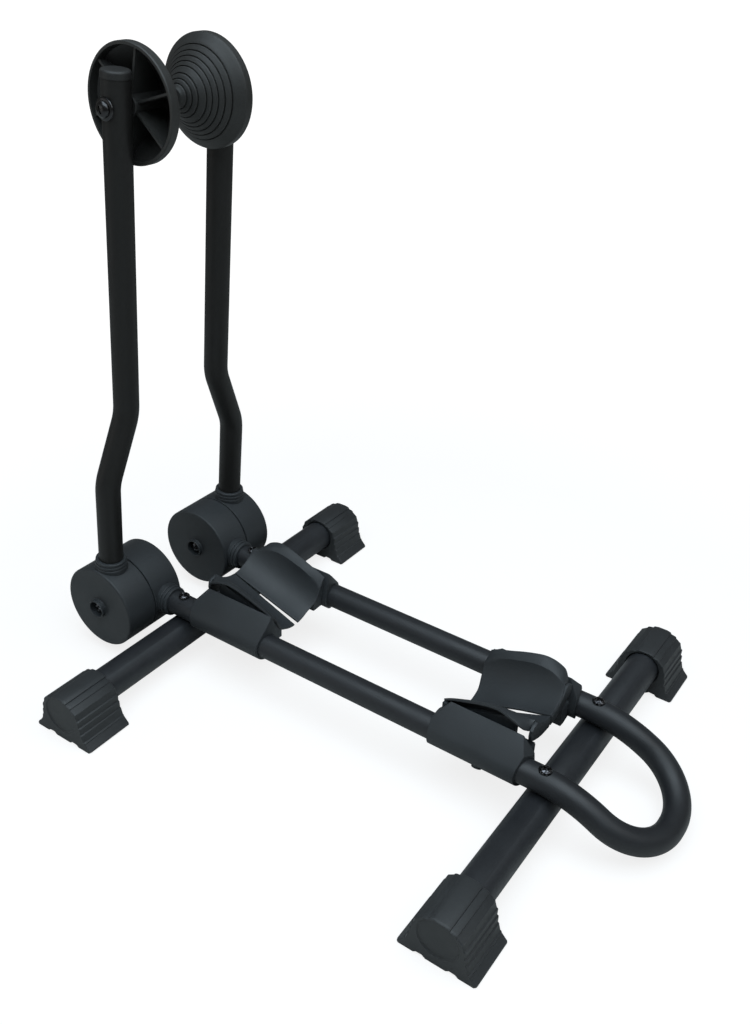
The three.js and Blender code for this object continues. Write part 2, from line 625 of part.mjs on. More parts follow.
function sleeve(lowCut, highCut) {
  const half = TRAY_LENGTH / 2;
  const body = solid(slabYZ(sleeveSection(), -half, half));
  const inner = LEG_Y - SLEEVE_RADIUS - OVERSHOOT;
  const outer = LEG_Y + SLEEVE_RADIUS + OVERSHOOT;
  const plan = outline([[-half - 1, inner], [half + 1, inner], [half, LEG_Y - ROOF_INWARD],
    [half - HIGH_END_INSET, outer], [-half + LOW_END_INSET, outer], [-half, LEG_Y - ROOF_INWARD]]);
  const low = -SLEEVE_RADIUS - OVERSHOOT;
  const top = ROOF_UP + OVERSHOOT;
  const side = outline([[-half - 1, low], [half + 1, low], [half + 1, ROOF_CORNER_Z], [half - highCut, top],
    [-half + lowCut, top], [-half - 1, ROOF_CORNER_Z]]);
  return body
    .intersect(solid(slabXY(plan, low, top)))
    .intersect(solid(slabXZ(side, 0, outer)));
}

// Turns a body built along X up the trough's slope and lifts it to the trough's bottom line.
function upSlope(geometry) {
  return solid(geometry.rotateY(-TROUGH_SLOPE).translate(0, 0, TROUGH_ABOVE_LEG));
}

function arcPoints(radius, fromY, toY, steps) {
  const from = Math.asin(fromY / radius);
  const to = Math.asin(toY / radius);
  return Array.from({ length: steps + 1 }, (_, i) => {
    const turn = from + ((to - from) * i) / steps;
    return [radius * Math.sin(turn), TROUGH_RADIUS - radius * Math.cos(turn)];
  });
}

function wingSection() {
  const bandY = TROUGH_RADIUS - 0.9;
  const outerRadius = TROUGH_RADIUS + TROUGH_WALL;
  return outline([
    ...arcPoints(TROUGH_RADIUS, TRAY_SLIT / 2, bandY, TROUGH_STEPS),
    [WING_RIDGE_Y - 0.6, WING_HEIGHT], [WING_RIDGE_Y, WING_HEIGHT - 0.8], [WING_RIDGE_Y - 0.6, WING_HEIGHT - 3],
    ...arcPoints(outerRadius, TRAY_SLIT / 2, outerRadius - 0.9, TROUGH_STEPS).reverse(),
  ]);
}

// Height of a line parallel to the trough's bottom at x, raised square to the slope.
function slopeLine(x, raise) {
  return TROUGH_ABOVE_LEG + x * Math.tan(TROUGH_SLOPE) + raise / Math.cos(TROUGH_SLOPE);
}

// Side view limits of the wing: a small round at the low end and a large one at the high end.
function wingLimits() {
  const end = TROUGH_HALF_LENGTH;
  const floor = slopeLine(-end, -TROUGH_WALL) - 10;
  const shape = new THREE.Shape();
  shape.moveTo(-end, floor);
  shape.lineTo(end, floor);
  shape.lineTo(end, slopeLine(end, 2));
  const foot = end - HIGH_EDGE_LEAN;
  const crown = foot - 2;
  const start = end - HIGH_ROUND;
  const clear = WING_HEIGHT + 0.5;
  shape.lineTo(foot, slopeLine(foot, WING_HEIGHT / 5));
  shape.quadraticCurveTo(crown, slopeLine(crown, WING_HEIGHT * 0.8), start, slopeLine(start, clear));
  shape.lineTo(-end + LOW_ROUND, slopeLine(-end + LOW_ROUND, clear));
  shape.quadraticCurveTo(-end, slopeLine(-end, WING_HEIGHT), -end, slopeLine(-end, WING_HEIGHT - LOW_ROUND));
  return shape;
}

function trayWeb() {
  const end = TROUGH_HALF_LENGTH;
  const under = outline([[WEB_INNER_Y, -40], [WEB_OUTER_Y, -40], [WEB_OUTER_Y, 24], [WEB_INNER_Y, 24]]);
  const trough = bar('x', TROUGH_RADIUS + 0.5, -2 * end, 2 * end, 4 * TROUGH_STEPS).translate(0, 0, TROUGH_RADIUS);
  const reach = TRAY_LENGTH;
  const web = upSlope(slabYZ(under, -reach, reach))
    .subtract(upSlope(trough))
    .intersect(solid(block(-end, WEB_HIGH_END, 0, LEG_Y, WEB_FOOT_Z, ROOF_UP + 20)));
  const inSleeve = LEG_Y - SLEEVE_RADIUS / 2;
  const face = WEB_OUTER_Y - 2;
  const bridge = solid(block(-end, WEB_HIGH_END, face, inSleeve, WEB_FOOT_Z, WEB_BRIDGE_TOP));
  const lowBridge = solid(block(-end, end, WEB_INNER_Y, inSleeve, WEB_FOOT_Z, WEB_LOW_TOP));
  const endWall = solid(block(-end, -end + 4, face, LEG_Y - ROOF_INWARD, WEB_FOOT_Z, ROOF_UP - 3));
  return web.add(bridge).add(lowBridge).add(endWall);
}

// Arched flange across the underside of the trough's high end.
function traySkirt() {
  const skirt = outline([
    ...arcPoints(TROUGH_RADIUS + 1, TRAY_SLIT / 2, SKIRT_OUTER_Y, TROUGH_STEPS),
    ...arcPoints(TROUGH_RADIUS + TROUGH_WALL + SKIRT_DEPTH, TRAY_SLIT / 2, SKIRT_OUTER_Y, TROUGH_STEPS).reverse(),
  ]);
  const end = TROUGH_HALF_LENGTH;
  const limits = block(end - SKIRT_THICKNESS, end, 0, LEG_Y, -LEG_Y, LEG_Y);
  return upSlope(slabYZ(skirt, -2 * end, 2 * end)).intersect(solid(limits));
}

// Tool or screw placed on the clamp screw's line, which points at the leg axis.
function onClampLine(geometry) {
  return geometry.rotateX(CLAMP_TILT).translate(CLAMP_FROM_CENTRE, LEG_Y, 0);
}

function trayHalf(lowCut, highCut) {
  const wing = upSlope(slabYZ(wingSection(), -TRAY_LENGTH, TRAY_LENGTH))
    .intersect(solid(slabXZ(wingLimits(), 0, WING_RIDGE_Y + OVERSHOOT)));
  const half = TRAY_LENGTH / 2 + OVERSHOOT;
  const legBore = bar('x', TUBE_RADIUS + SEAT_GAP, -half - OVERSHOOT, half + OVERSHOOT).translate(0, LEG_Y, 0);
  const pocket = bar('z', CLAMP_HEAD_RADIUS + 0.8, CLAMP_HEAD_START - SEAT_GAP, CLAMP_HEAD_START + 6, SMALL_SIDES);
  const clampHole = bar('z', CLAMP_RADIUS + SEAT_GAP, TUBE_RADIUS - 1, CLAMP_HEAD_START + 1, SMALL_SIDES);
  return geometryOf(
    sleeve(lowCut, highCut)
      .add(trayWeb())
      .add(wing)
      .add(traySkirt())
      .subtract(solid(legBore))
      .subtract(solid(onClampLine(pocket)))
      .subtract(solid(onClampLine(clampHole))),
  );
}

function clampScrew() {
  const length = CLAMP_HEAD_START - TUBE_RADIUS - SEAT_GAP;
  const geometry = headedScrew(CLAMP_RADIUS, CLAMP_HEAD_RADIUS, CLAMP_HEAD_HEIGHT, length, false);
  geometry.rotateX(-Math.PI / 2).translate(0, 0, CLAMP_HEAD_START);
  return onClampLine(geometry);
}

// ---------------------------------------------------------------- assembly
const rack = new THREE.Group();
rack.name = 'bike_rack';

// The origin is on the floor in the middle of the rack's length and width.
const REAR_END = -DRUM_BEHIND_CROSS - DRUM_RADIUS;
const LOOP_REACH = DROP_RADIUS * Math.sin(DROP_ANGLE) + (DROP_STRAIGHT + LOOP_RADIUS) * Math.cos(DROP_ANGLE);
const FRONT_END = CROSS_SPACING - BEND_BEFORE_CROSS + LOOP_REACH + TUBE_RADIUS;
const frame = new THREE.Group();
frame.position.x = -(REAR_END + FRONT_END) / 2;
rack.add(frame);

function addPiece(parent, name, geometry, material, x = 0, y = 0, z = 0) {
  const mesh = new THREE.Mesh(geometry, material());
  mesh.name = name;
  mesh.position.set(x, y, z);
  parent.add(mesh);
  return mesh;
}

const SIDES = [['left', -1], ['right', 1]];
const ENDS = [['rear', 0], ['front', CROSS_SPACING]];

addPiece(frame, 'hoop_frame', hoopFrame(), coatedTube);

const footShape = foot();
const frameScrewLength = 2 * TUBE_RADIUS + CROSS_WALL + SCREW_TIP_INSIDE;
const frameScrew = headedScrew(SCREW_RADIUS, SCREW_HEAD_RADIUS, SCREW_HEAD_HEIGHT, frameScrewLength, true);
frameScrew.rotateX(-Math.PI / 2);
for (const [end, x] of ENDS) {
  addPiece(frame, `${end}_cross_tube`, crossTube(x), coatedTube, x);
  for (const [side, sign] of SIDES) {
    addPiece(frame, `${end}_${side}_foot`, reflected(footShape, 1, sign), softRubber, x);
    const screwZ = LEG_HEIGHT + TUBE_RADIUS + SEAT_GAP;
    addPiece(frame, `${end}_${side}_frame_screw`, frameScrew.clone(), blackScrew, x, sign * LEG_Y, screwZ);
  }
}

const innerHalf = drumInnerHalf();
const outerHalf = drumOuterHalf();
const disc = frictionDisc();
const pocketFloor = DRUM_INNER_Y - BOSS_HEIGHT + BOSS_POCKET_DEPTH;
const pocketRoof = DRUM_FACE_Y + BOSS_HEIGHT - BOSS_POCKET_DEPTH;
const hingeLength = pocketRoof - pocketFloor + 2 * SEAT_GAP + NUT_HEIGHT + 0.4;
const hingeBolt = headedScrew(BOLT_RADIUS, BOLT_HEAD_RADIUS, BOLT_HEAD_HEIGHT, hingeLength, true);
const hingeNut = nut(BOLT_RADIUS + SEAT_GAP);
const coneBoltHead = ARM_HIGH_Y + TUBE_RADIUS + WASHER_THICKNESS + 2 * SEAT_GAP;
const coneNutY = CONE_BACK_Y - CONE_BOSS_LENGTH - SEAT_GAP - NUT_HEIGHT;
const coneBoltLength = coneBoltHead - coneNutY + 0.8;
const coneBolt = headedScrew(BOLT_RADIUS, BOLT_HEAD_RADIUS, BOLT_HEAD_HEIGHT + 0.6, coneBoltLength, false);
const armTube = arm();
const cap = armCap();
const coneShape = cone();
const washerShape = washer();
const boltUp = ARM_LENGTH - CONE_BELOW_TOP;
for (const [side, sign] of SIDES) {
  const drum = new THREE.Group();
  drum.position.set(-DRUM_BEHIND_CROSS, 0, LEG_HEIGHT);
  frame.add(drum);
  addPiece(drum, `${side}_drum_inner_half`, reflected(innerHalf, 1, sign), mouldedPlastic);
  addPiece(drum, `${side}_friction_disc`, reflected(disc, 1, sign), frictionPad);
  // Both hinge bolts have their heads towards -Y and their nuts towards +Y.
  const headSeat = (sign > 0 ? pocketFloor : -pocketRoof) - SEAT_GAP;
  const nutSeat = (sign > 0 ? pocketRoof : -pocketFloor) + SEAT_GAP;
  addPiece(drum, `${side}_hinge_bolt`, hingeBolt.clone(), blackScrew, 0, headSeat);
  addPiece(drum, `${side}_hinge_nut`, hingeNut.clone(), plainSteel, 0, nutSeat);

  const arms = new THREE.Group();
  arms.rotation.y = ARM_LEAN;
  drum.add(arms);
  addPiece(arms, `${side}_drum_outer_half`, reflected(outerHalf, 1, sign), mouldedPlastic);
  addPiece(arms, `${side}_arm`, reflected(armTube, 1, sign), coatedTube);
  addPiece(arms, `${side}_arm_cap`, cap.clone(), mouldedPlastic, 0, sign * ARM_HIGH_Y, ARM_LENGTH - CAP_RIM_HEIGHT);
  const washerY = sign * (ARM_HIGH_Y + TUBE_RADIUS + SEAT_GAP);
  addPiece(arms, `${side}_cone_washer`, reflected(washerShape, 1, sign), blackScrew, 0, washerY, boltUp);
  addPiece(arms, `${side}_cone_bolt`, reflected(coneBolt, 1, -sign), blackScrew, 0, sign * coneBoltHead, boltUp);
  addPiece(arms, `${side}_cone_nut`, reflected(hingeNut, 1, sign), plainSteel, 0, sign * coneNutY, boltUp);
  addPiece(arms, `${side}_cone`, reflected(coneShape, 1, sign), softRubber, 0, 0, boltUp);
}

// The rear tray is the front one turned to face it; both have the long corner cut towards the drums.
const clamp = clampScrew();
const TRAYS = [
  ['rear', TRAY_REAR_BEFORE_CROSS, -1, trayHalf(SHORT_CORNER_CUT, LONG_CORNER_CUT)],
  ['front', CROSS_SPACING - TRAY_FRONT_BEHIND_CROSS, 1, trayHalf(LONG_CORNER_CUT, SHORT_CORNER_CUT)],
];
for (const [end, x, along, tray] of TRAYS) {
  for (const [side, sign] of SIDES) {
    addPiece(frame, `${end}_${side}_tray_half`, reflected(tray, along, sign), mouldedPlastic, x, 0, LEG_HEIGHT);
    addPiece(frame, `${end}_${side}_tray_screw`, reflected(clamp, along, sign), blackScrew, x, 0, LEG_HEIGHT);
  }
}

export default rack;
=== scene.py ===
"""Floor bike rack: looks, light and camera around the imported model."""

import math

import bpy
from mathutils import Matrix, Vector


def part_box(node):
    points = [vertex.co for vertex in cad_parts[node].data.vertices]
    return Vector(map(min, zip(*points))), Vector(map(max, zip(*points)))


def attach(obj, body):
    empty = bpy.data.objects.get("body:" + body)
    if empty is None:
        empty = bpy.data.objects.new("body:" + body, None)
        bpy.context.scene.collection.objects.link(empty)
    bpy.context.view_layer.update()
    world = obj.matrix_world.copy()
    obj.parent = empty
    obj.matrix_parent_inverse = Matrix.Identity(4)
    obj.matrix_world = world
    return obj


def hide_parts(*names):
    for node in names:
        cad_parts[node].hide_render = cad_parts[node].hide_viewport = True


bl_info = {
    "name": "Floor bike rack",
    "version": (1, 0, 0),
    "blender": (4, 5, 0),
    "location": "3D View > Sidebar > Bike rack",
    "description": "Builds the tubes, feet, hinge drums, cones, tyre trays and screws of a floor bike rack",
    "category": "Object",
}

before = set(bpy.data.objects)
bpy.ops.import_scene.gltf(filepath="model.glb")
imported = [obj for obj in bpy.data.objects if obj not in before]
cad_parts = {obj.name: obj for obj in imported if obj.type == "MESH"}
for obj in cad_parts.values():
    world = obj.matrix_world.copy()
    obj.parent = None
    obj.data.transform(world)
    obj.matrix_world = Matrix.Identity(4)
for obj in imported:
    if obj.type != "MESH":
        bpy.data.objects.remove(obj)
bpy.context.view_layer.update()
MM = 0.001
SIDES = (("left", -1), ("right", 1))
TUBE_SIDES = 56
DRUM_SIDES = 112
BORE_FIT = 0.2  # between a leg or arm tube and the bore around it, mm
CROSS_FIT = 0.25  # between a tube and the saddle or foot around it, mm
TUBE_START = 18  # tube ends in a drum, from its axis, mm
FRAME_DRILL = 2.8  # radius of the frame screws' holes, mm


def middle(node):
    low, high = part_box(node)
    return (low + high) / 2


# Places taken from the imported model.
REAR_X = middle("rear_cross_tube").x
FRONT_X = middle("front_cross_tube").x
CROSS_Z = middle("rear_left_foot").z + 0.0036  # the cross tubes' axis, above the middle of a foot
LEG_Z = middle("left_friction_disc").z
DRUM_X = middle("left_friction_disc").x
LEAN = math.radians(4.5)


def mm_size(name, words, default):
    """A length property in millimetres."""
    return bpy.props.FloatProperty(name=name, description=f"{words}, mm", default=default, min=0.0)


def angle_size(name, words, degrees):
    """An angle property."""
    return bpy.props.FloatProperty(name=name, description=words, default=math.radians(degrees), subtype="ANGLE")


def colour(name, words, default):
    """A colour property."""
    return bpy.props.FloatVectorProperty(name=name, description=words, default=default, min=0.0, max=1.0,
                                         size=3, subtype="COLOR")


class RackSizes(bpy.types.PropertyGroup):
    """Lengths of the rack in millimetres."""
    tube_radius: mm_size("Tube radius", "Radius of the hoop and arm tubes", 11.0)
    tube_wall: mm_size("Tube wall", "Wall of the hoop and arm tubes", 1.5)
    cross_radius: mm_size("Cross tube radius", "Radius of the cross tubes", 15.0)
    cross_wall: mm_size("Cross tube wall", "Wall of the cross tubes", 2.5)
    foot_spread: mm_size("Foot spread", "Distance over the outer ends of the feet", 406.0)
    foot_length: mm_size("Foot length", "Length of a foot along the cross tube", 45.5)
    leg_y: mm_size("Leg distance", "Leg axis from the middle of the rack", 49.3)
    drop_radius: mm_size("Drop radius", "Bend radius where the legs drop to the loop", 115.0)
    drop_angle: angle_size("Drop angle", "Angle of the drop to the loop", 27.1)
    drum_radius: mm_size("Drum radius", "Radius of a hinge drum", 40.0)
    drum_inner_y: mm_size("Drum inner face", "Inner face of a drum from the middle", 31.85)
    drum_split_y: mm_size("Drum seam", "Seam of a drum's two halves from the middle", 65.25)
    drum_outer_y: mm_size("Drum outer face", "Outer face of a drum from the middle", 98.45)
    arm_low_y: mm_size("Arm foot distance", "Arm axis at the drum from the middle", 81.5)
    arm_high_y: mm_size("Arm top distance", "Arm axis at the cones from the middle", 56.8)
    arm_length: mm_size("Arm length", "Drum axis to the top of the arm cap", 468.5)
    cone_radius: mm_size("Cone radius", "Radius of a cone's rim", 43.76)
    cone_below_top: mm_size("Cone depth", "Cone axis below the top of the arm cap", 26.5)
    tray_length: mm_size("Tray length", "Length of a tray's sleeve", 87.3)
    trough_radius: mm_size("Trough radius", "Inner radius of a tray's trough", 33.0)
    trough_slope: angle_size("Trough slope", "Slope of a tray's trough", 19.0)


class RackColours(bpy.types.PropertyGroup):
    """Colours of the rack's finishes."""
    tube: colour("Tube coat", "Satin powder coat of the tubes", (0.0130, 0.0144, 0.0168))
    # The tube coat made darker and warmer for the upright arms: painted shade, as they face sideways under
    # light from above.
    arm: colour("Arm coat, shaded", "Satin powder coat of the arms", (0.0088, 0.0085, 0.0080))
    plastic: colour("Moulded plastic", "Drums, caps and trays", (0.0218, 0.0252, 0.0282))
    rubber: colour("Rubber", "Feet", (0.0205, 0.0225, 0.0240))
    cone: colour("Cones", "Cones at the arm tops", (0.0188, 0.0190, 0.0180))
    cap: colour("Arm caps", "Moulded plugs of the arms", (0.0125, 0.0125, 0.0120))
    screw: colour("Screws", "Dark plated screws and washers", (0.050, 0.050, 0.052))
    # Dark base of the frame and hinge screw heads; its finish paints sharp bright speckles on it as painted
    # glints.
    worn_screw: colour("Glint-speckled screws", "Screw heads of the frame and hinges", (0.013, 0.013, 0.014))
    steel: colour("Steel", "Plated nuts", (0.42, 0.43, 0.44))
    lining: colour("Lining", "Friction discs in the drums", (0.030, 0.027, 0.024))


def sizes():
    return bpy.context.scene.rack_sizes


def colours():
    return bpy.context.scene.rack_colours


# ---------------------------------------------------------------- modelling by hand, in code
def clear_selection():
    if bpy.context.object and bpy.context.object.mode != "OBJECT":
        bpy.ops.object.mode_set(mode="OBJECT")
    bpy.ops.object.select_all(action="DESELECT")


def pick(obj):
    """Makes one object the only selected one and the active one."""
    clear_selection()
    obj.select_set(True)
    bpy.context.view_layer.objects.active = obj


def edit(obj=None):
    """Opens a mesh, or the one that was just added, with everything selected."""
    if obj:
        pick(obj)
    bpy.ops.object.mode_set(mode="EDIT")
    bpy.ops.mesh.select_all(action="SELECT")


def leave_edit():
    bpy.ops.object.mode_set(mode="OBJECT")


def push(x, y, z):
    """Extrudes what is selected by a step in millimetres."""
    bpy.ops.mesh.extrude_region_move(TRANSFORM_OT_translate={"value": (x * MM, y * MM, z * MM)})


def turn_on(angle, centre, axis, steps):
    """Carries the selected ring round a bend, right-handed about the axis; the centre is in millimetres."""
    bpy.ops.mesh.spin(steps=steps, angle=-angle, center=Vector(centre) * MM, axis=axis)


def finish_shell():
    """Merges doubles, makes every face point outwards and leaves the mesh."""
    bpy.ops.mesh.select_all(action="SELECT")
    bpy.ops.mesh.remove_doubles(threshold=2e-6)
    bpy.ops.mesh.normals_make_consistent(inside=False)
    leave_edit()


def settle(obj):
    """Puts the object's place, turn and scale into its mesh."""
    pick(obj)
    bpy.ops.object.transform_apply(location=True, rotation=True, scale=True)


def ring(name, radius, at, facing, sides):
    """A circle of edges around a point, in edit mode and selected."""
    clear_selection()
    turn = {"x": (0, math.pi / 2, 0), "y": (math.pi / 2, 0, 0), "z": (0, 0, 0)}[facing]
    bpy.ops.mesh.primitive_circle_add(vertices=sides, radius=radius * MM, location=Vector(at) * MM,
                                      rotation=turn)
    obj = bpy.context.object
    obj.name = name
    settle(obj)
    edit()
    return obj


def chain(name, points):
    """A line of edges through points in millimetres, drawn by extruding one vertex; left open and selected."""
    clear_selection()
    bpy.ops.mesh.primitive_circle_add(vertices=3, radius=MM)
    obj = bpy.context.object
    obj.name = name
    edit()
    bpy.ops.mesh.merge(type="CENTER")
    bpy.ops.transform.translate(value=Vector(points[0]) * MM)
    for before, after in zip(points, points[1:]):
        push(*(Vector(after) - Vector(before)))
    bpy.ops.mesh.select_all(action="SELECT")
    return obj


def turned_y(name, profile, sides):
    """A body turned about the Y axis from (radius, y) points in millimetres."""
    obj = chain(name, [(radius, y, 0) for radius, y in profile])
    bpy.ops.mesh.spin(steps=sides, angle=math.tau, center=(0, 0, 0), axis=(0, 1, 0))
    finish_shell()
    return obj


def plate(name, outline, along, start, end):
    """An outline of (a, b) points in millimetres, filled and carried along an axis letter from start to end."""
    place = {"x": lambda a, b, c: (c, a, b), "y": lambda a, b, c: (a, c, b),
             "z": lambda a, b, c: (a, b, c)}[along]
    obj = chain(name, [place(a, b, start) for a, b in outline])
    bpy.ops.mesh.edge_face_add()
    push(*(Vector(place(0, 0, end)) - Vector(place(0, 0, start))))
    finish_shell()
    return obj


def rod(name, radius, along, start, end, at=(0, 0, 0), sides=48):
    """A closed round bar along an axis letter from start to end, moved by a step in millimetres."""
    axis = {"x": Vector((1, 0, 0)), "y": Vector((0, 1, 0)), "z": Vector((0, 0, 1))}[along]
    obj = ring(name, radius, Vector(at) + axis * start, along, sides)
    bpy.ops.mesh.edge_face_add()
    push(*(axis * (end - start)))
    finish_shell()
    return obj


def shift(obj, x, y, z):
    """Moves a finished mesh by a step in millimetres."""
    edit(obj)
    bpy.ops.transform.translate(value=Vector((x, y, z)) * MM)
    leave_edit()
    return obj


def rotate(obj, angle, axis):
    """Turns a finished mesh right-handed about an axis letter through the origin."""
    edit(obj)
    bpy.ops.transform.rotate(value=-angle, orient_axis=axis, center_override=(0, 0, 0))
    leave_edit()
    return obj


def modify(obj, kind, **settings):
    """Adds a modifier and applies it."""
    pick(obj)
    bpy.ops.object.modifier_add(type=kind)
    modifier = obj.modifiers[-1]
    for key, value in settings.items():
        setattr(modifier, key, value)
    bpy.ops.object.modifier_apply(modifier=modifier.name)
    return obj


def thicken(obj, wall, **settings):
    """Gives an open sheet a wall in millimetres, on its inner side."""
    return modify(obj, "SOLIDIFY", thickness=wall * MM, offset=-1.0, use_rim=True, **settings)


def combine(obj, other, how):
    """Unites two solids or cuts the second from the first; the second one is used up."""
    modify(obj, "BOOLEAN", operation=how, object=other, solver="EXACT")
    bpy.data.objects.remove(other)


def cut(obj, *others):
    for other in others:
        combine(obj, other, "DIFFERENCE")
    return obj


def join(obj, *others):
    """Puts several meshes into one object."""
    clear_selection()
    for piece in (obj, *others):
        piece.select_set(True)
    bpy.context.view_layer.objects.active = obj
    bpy.ops.object.join()
    return obj


def slice_off(obj, point, normal):
    """Cuts away what lies beyond a plane and closes the cut; the point is in millimetres."""
    edit(obj)
    bpy.ops.mesh.bisect(plane_co=Vector(point) * MM, plane_no=normal, use_fill=True, clear_outer=True)
    leave_edit()
    return obj


def soften(obj, width, angle=30, segments=3):
    """Rounds every edge sharper than the angle."""
    return modify(obj, "BEVEL", width=width * MM, segments=segments, limit_method="ANGLE",
                  angle_limit=math.radians(angle), use_clamp_overlap=True, harden_normals=False)


def mirror(obj, x, y):
    """Mirrors a finished mesh in X or Y where the factor is -1."""
    edit(obj)
    bpy.ops.transform.resize(value=(x, y, 1), center_override=(0, 0, 0))
    if x * y < 0:
        bpy.ops.mesh.flip_normals()
    leave_edit()


def twin(obj, name, x=1, y=1):
    """A copy with its own mesh, mirrored in X or Y where the factor is -1."""
    pick(obj)
    bpy.ops.object.duplicate()
    copy = bpy.context.object
    copy.name = name
    if x < 0 or y < 0:
        mirror(copy, x, y)
    return copy


def close_up(obj):
    """Fills the small holes a cut can leave."""
    edit(obj)
    bpy.ops.mesh.fill_holes(sides=0)
    leave_edit()


def coat(obj, finish):
    obj.data.materials.clear()
    obj.data.materials.append(FINISHES[finish])


def dress(obj, body, slot, *nodes, finish=None, smooth=35):
    """Shades a finished piece, gives it its finish and puts it on its body in place of CAD nodes."""
    settle(obj)
    close_up(obj)
    bpy.ops.object.shade_smooth_by_angle(angle=math.radians(smooth))
    coat(obj, finish or slot)
    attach(obj, body)
    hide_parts(*nodes)


# ---------------------------------------------------------------- finishes
def node_in(tree, kind, inputs=None, **settings):
    """A new node with its settings and the defaults of its inputs."""
    node = tree.nodes.new(kind)
    for key, value in settings.items():
        setattr(node, key, value)
    preset(node, inputs or {})
    return node


def preset(node, inputs):
    for name, value in inputs.items():
        node.inputs[name].default_value = value


def wire(tree, *links):
    """Links nodes; each link is (node, output, node, input)."""
    for source, output, target, entry in links:
        tree.links.new(source.outputs[output], target.inputs[entry])


def group_tree(name, inputs, outputs):
    """An empty shader node group with float sockets, and its two end nodes."""
    group = bpy.data.node_groups.new(name, "ShaderNodeTree")
    for socket_name, default in inputs.items():
        socket = group.interface.new_socket(socket_name, in_out="INPUT", socket_type="NodeSocketFloat")
        socket.default_value = default
    for socket_name in outputs:
        group.interface.new_socket(socket_name, in_out="OUTPUT", socket_type="NodeSocketFloat")
    return group, node_in(group, "NodeGroupInput"), node_in(group, "NodeGroupOutput")


def grain_group():
    """Fine uneven skin: a height for Bump and a mask that varies slowly over the surface."""
    if "skin_grain" in bpy.data.node_groups:
        return bpy.data.node_groups["skin_grain"]
    group, inputs, outputs = group_tree("skin_grain", {"Fine scale": 900.0, "Slow scale": 25.0},
                                        ("Height", "Patches"))
    place = node_in(group, "ShaderNodeTexCoord")
    fine = node_in(group, "ShaderNodeTexNoise", {"Detail": 3.0})
    slow = node_in(group, "ShaderNodeTexNoise", {"Detail": 4.0, "Roughness": 0.6})
    wire(group, (place, "Object", fine, "Vector"), (inputs, "Fine scale", fine, "Scale"),
         (place, "Object", slow, "Vector"), (inputs, "Slow scale", slow, "Scale"),
         (fine, "Fac", outputs, "Height"), (slow, "Fac", outputs, "Patches"))
    return group


def edge_rub_and_highlight_group():
    """Mask of convex edges, broken up by noise; the edges it lightens stand for light rubbing and a painted
    edge highlight.
    """
    if "rubbed_and_highlit_edges" in bpy.data.node_groups:
        return bpy.data.node_groups["rubbed_and_highlit_edges"]
    group, inputs, outputs = group_tree("rubbed_and_highlit_edges", {"Noise scale": 220.0}, ("Mask",))
    place = node_in(group, "ShaderNodeTexCoord")
    geometry = node_in(group, "ShaderNodeNewGeometry")
    edge = node_in(group, "ShaderNodeMapRange", {"From Min": 0.53, "From Max": 0.62})
    noise = node_in(group, "ShaderNodeTexNoise")
    product = node_in(group, "ShaderNodeMath", operation="MULTIPLY")
    wire(group, (place, "Object", noise, "Vector"), (inputs, "Noise scale", noise, "Scale"),
         (geometry, "Pointiness", edge, "Value"), (edge, "Result", product, 0), (noise, "Fac", product, 1),
         (product, "Value", outputs, "Mask"))
    return group


def lifted(tone, factor):
    return tuple(min(1.0, channel * factor) for channel in tone) + (1.0,)


def new_material(name):
    """A material with nodes, with its tree and its shader."""
    material = bpy.data.materials.new(name)
    material.use_nodes = True
    return material, material.node_tree, material.node_tree.nodes["Principled BSDF"]


def finish_material(name, tone, roughness, fine_scale, bump, patch_light=1.25, spread=0.08, edge_light=1.8,
                    metallic=0.0, slow_scale=25.0, patch_edge=0.2, shine=0.5):
    """A finish with a fine skin, slow colour and roughness change, and lightened edges: light rubbing and a
    painted edge highlight.
    """
    material, tree, shader = new_material(name)
    preset(shader, {"Metallic": metallic, "Specular IOR Level": shine})
    grain = node_in(tree, "ShaderNodeGroup", node_tree=grain_group())
    preset(grain, {"Fine scale": fine_scale, "Slow scale": slow_scale})
    patches = node_in(tree, "ShaderNodeMapRange", {"From Min": 0.5 - patch_edge, "From Max": 0.5 + patch_edge})
    edge_rub_and_highlight = node_in(tree, "ShaderNodeGroup", node_tree=edge_rub_and_highlight_group())
    shades = node_in(tree, "ShaderNodeMix", data_type="RGBA")
    preset(shades, {"A": lifted(tone, 1.0), "B": lifted(tone, patch_light)})
    # Convex edges made lighter by edge_light: light rubbing and a painted edge highlight.
    edges = node_in(tree, "ShaderNodeMix", data_type="RGBA")
    preset(edges, {"B": lifted(tone, edge_light)})
    rough = node_in(tree, "ShaderNodeMapRange", {"From Min": 0.3, "From Max": 0.7, "To Min": roughness - spread,
                                                 "To Max": roughness + spread})
    relief = node_in(tree, "ShaderNodeBump", {"Strength": bump, "Distance": 0.0002})
    wire(tree, (grain, "Patches", patches, "Value"), (patches, "Result", shades, "Factor"),
         (shades, "Result", edges, "A"), (edge_rub_and_highlight, "Mask", edges, "Factor"),
         (edges, "Result", shader, "Base Color"), (grain, "Patches", rough, "Value"),
         (rough, "Result", shader, "Roughness"), (grain, "Height", relief, "Height"),
         (relief, "Normal", shader, "Normal"))
    return material


FINISHES = {}


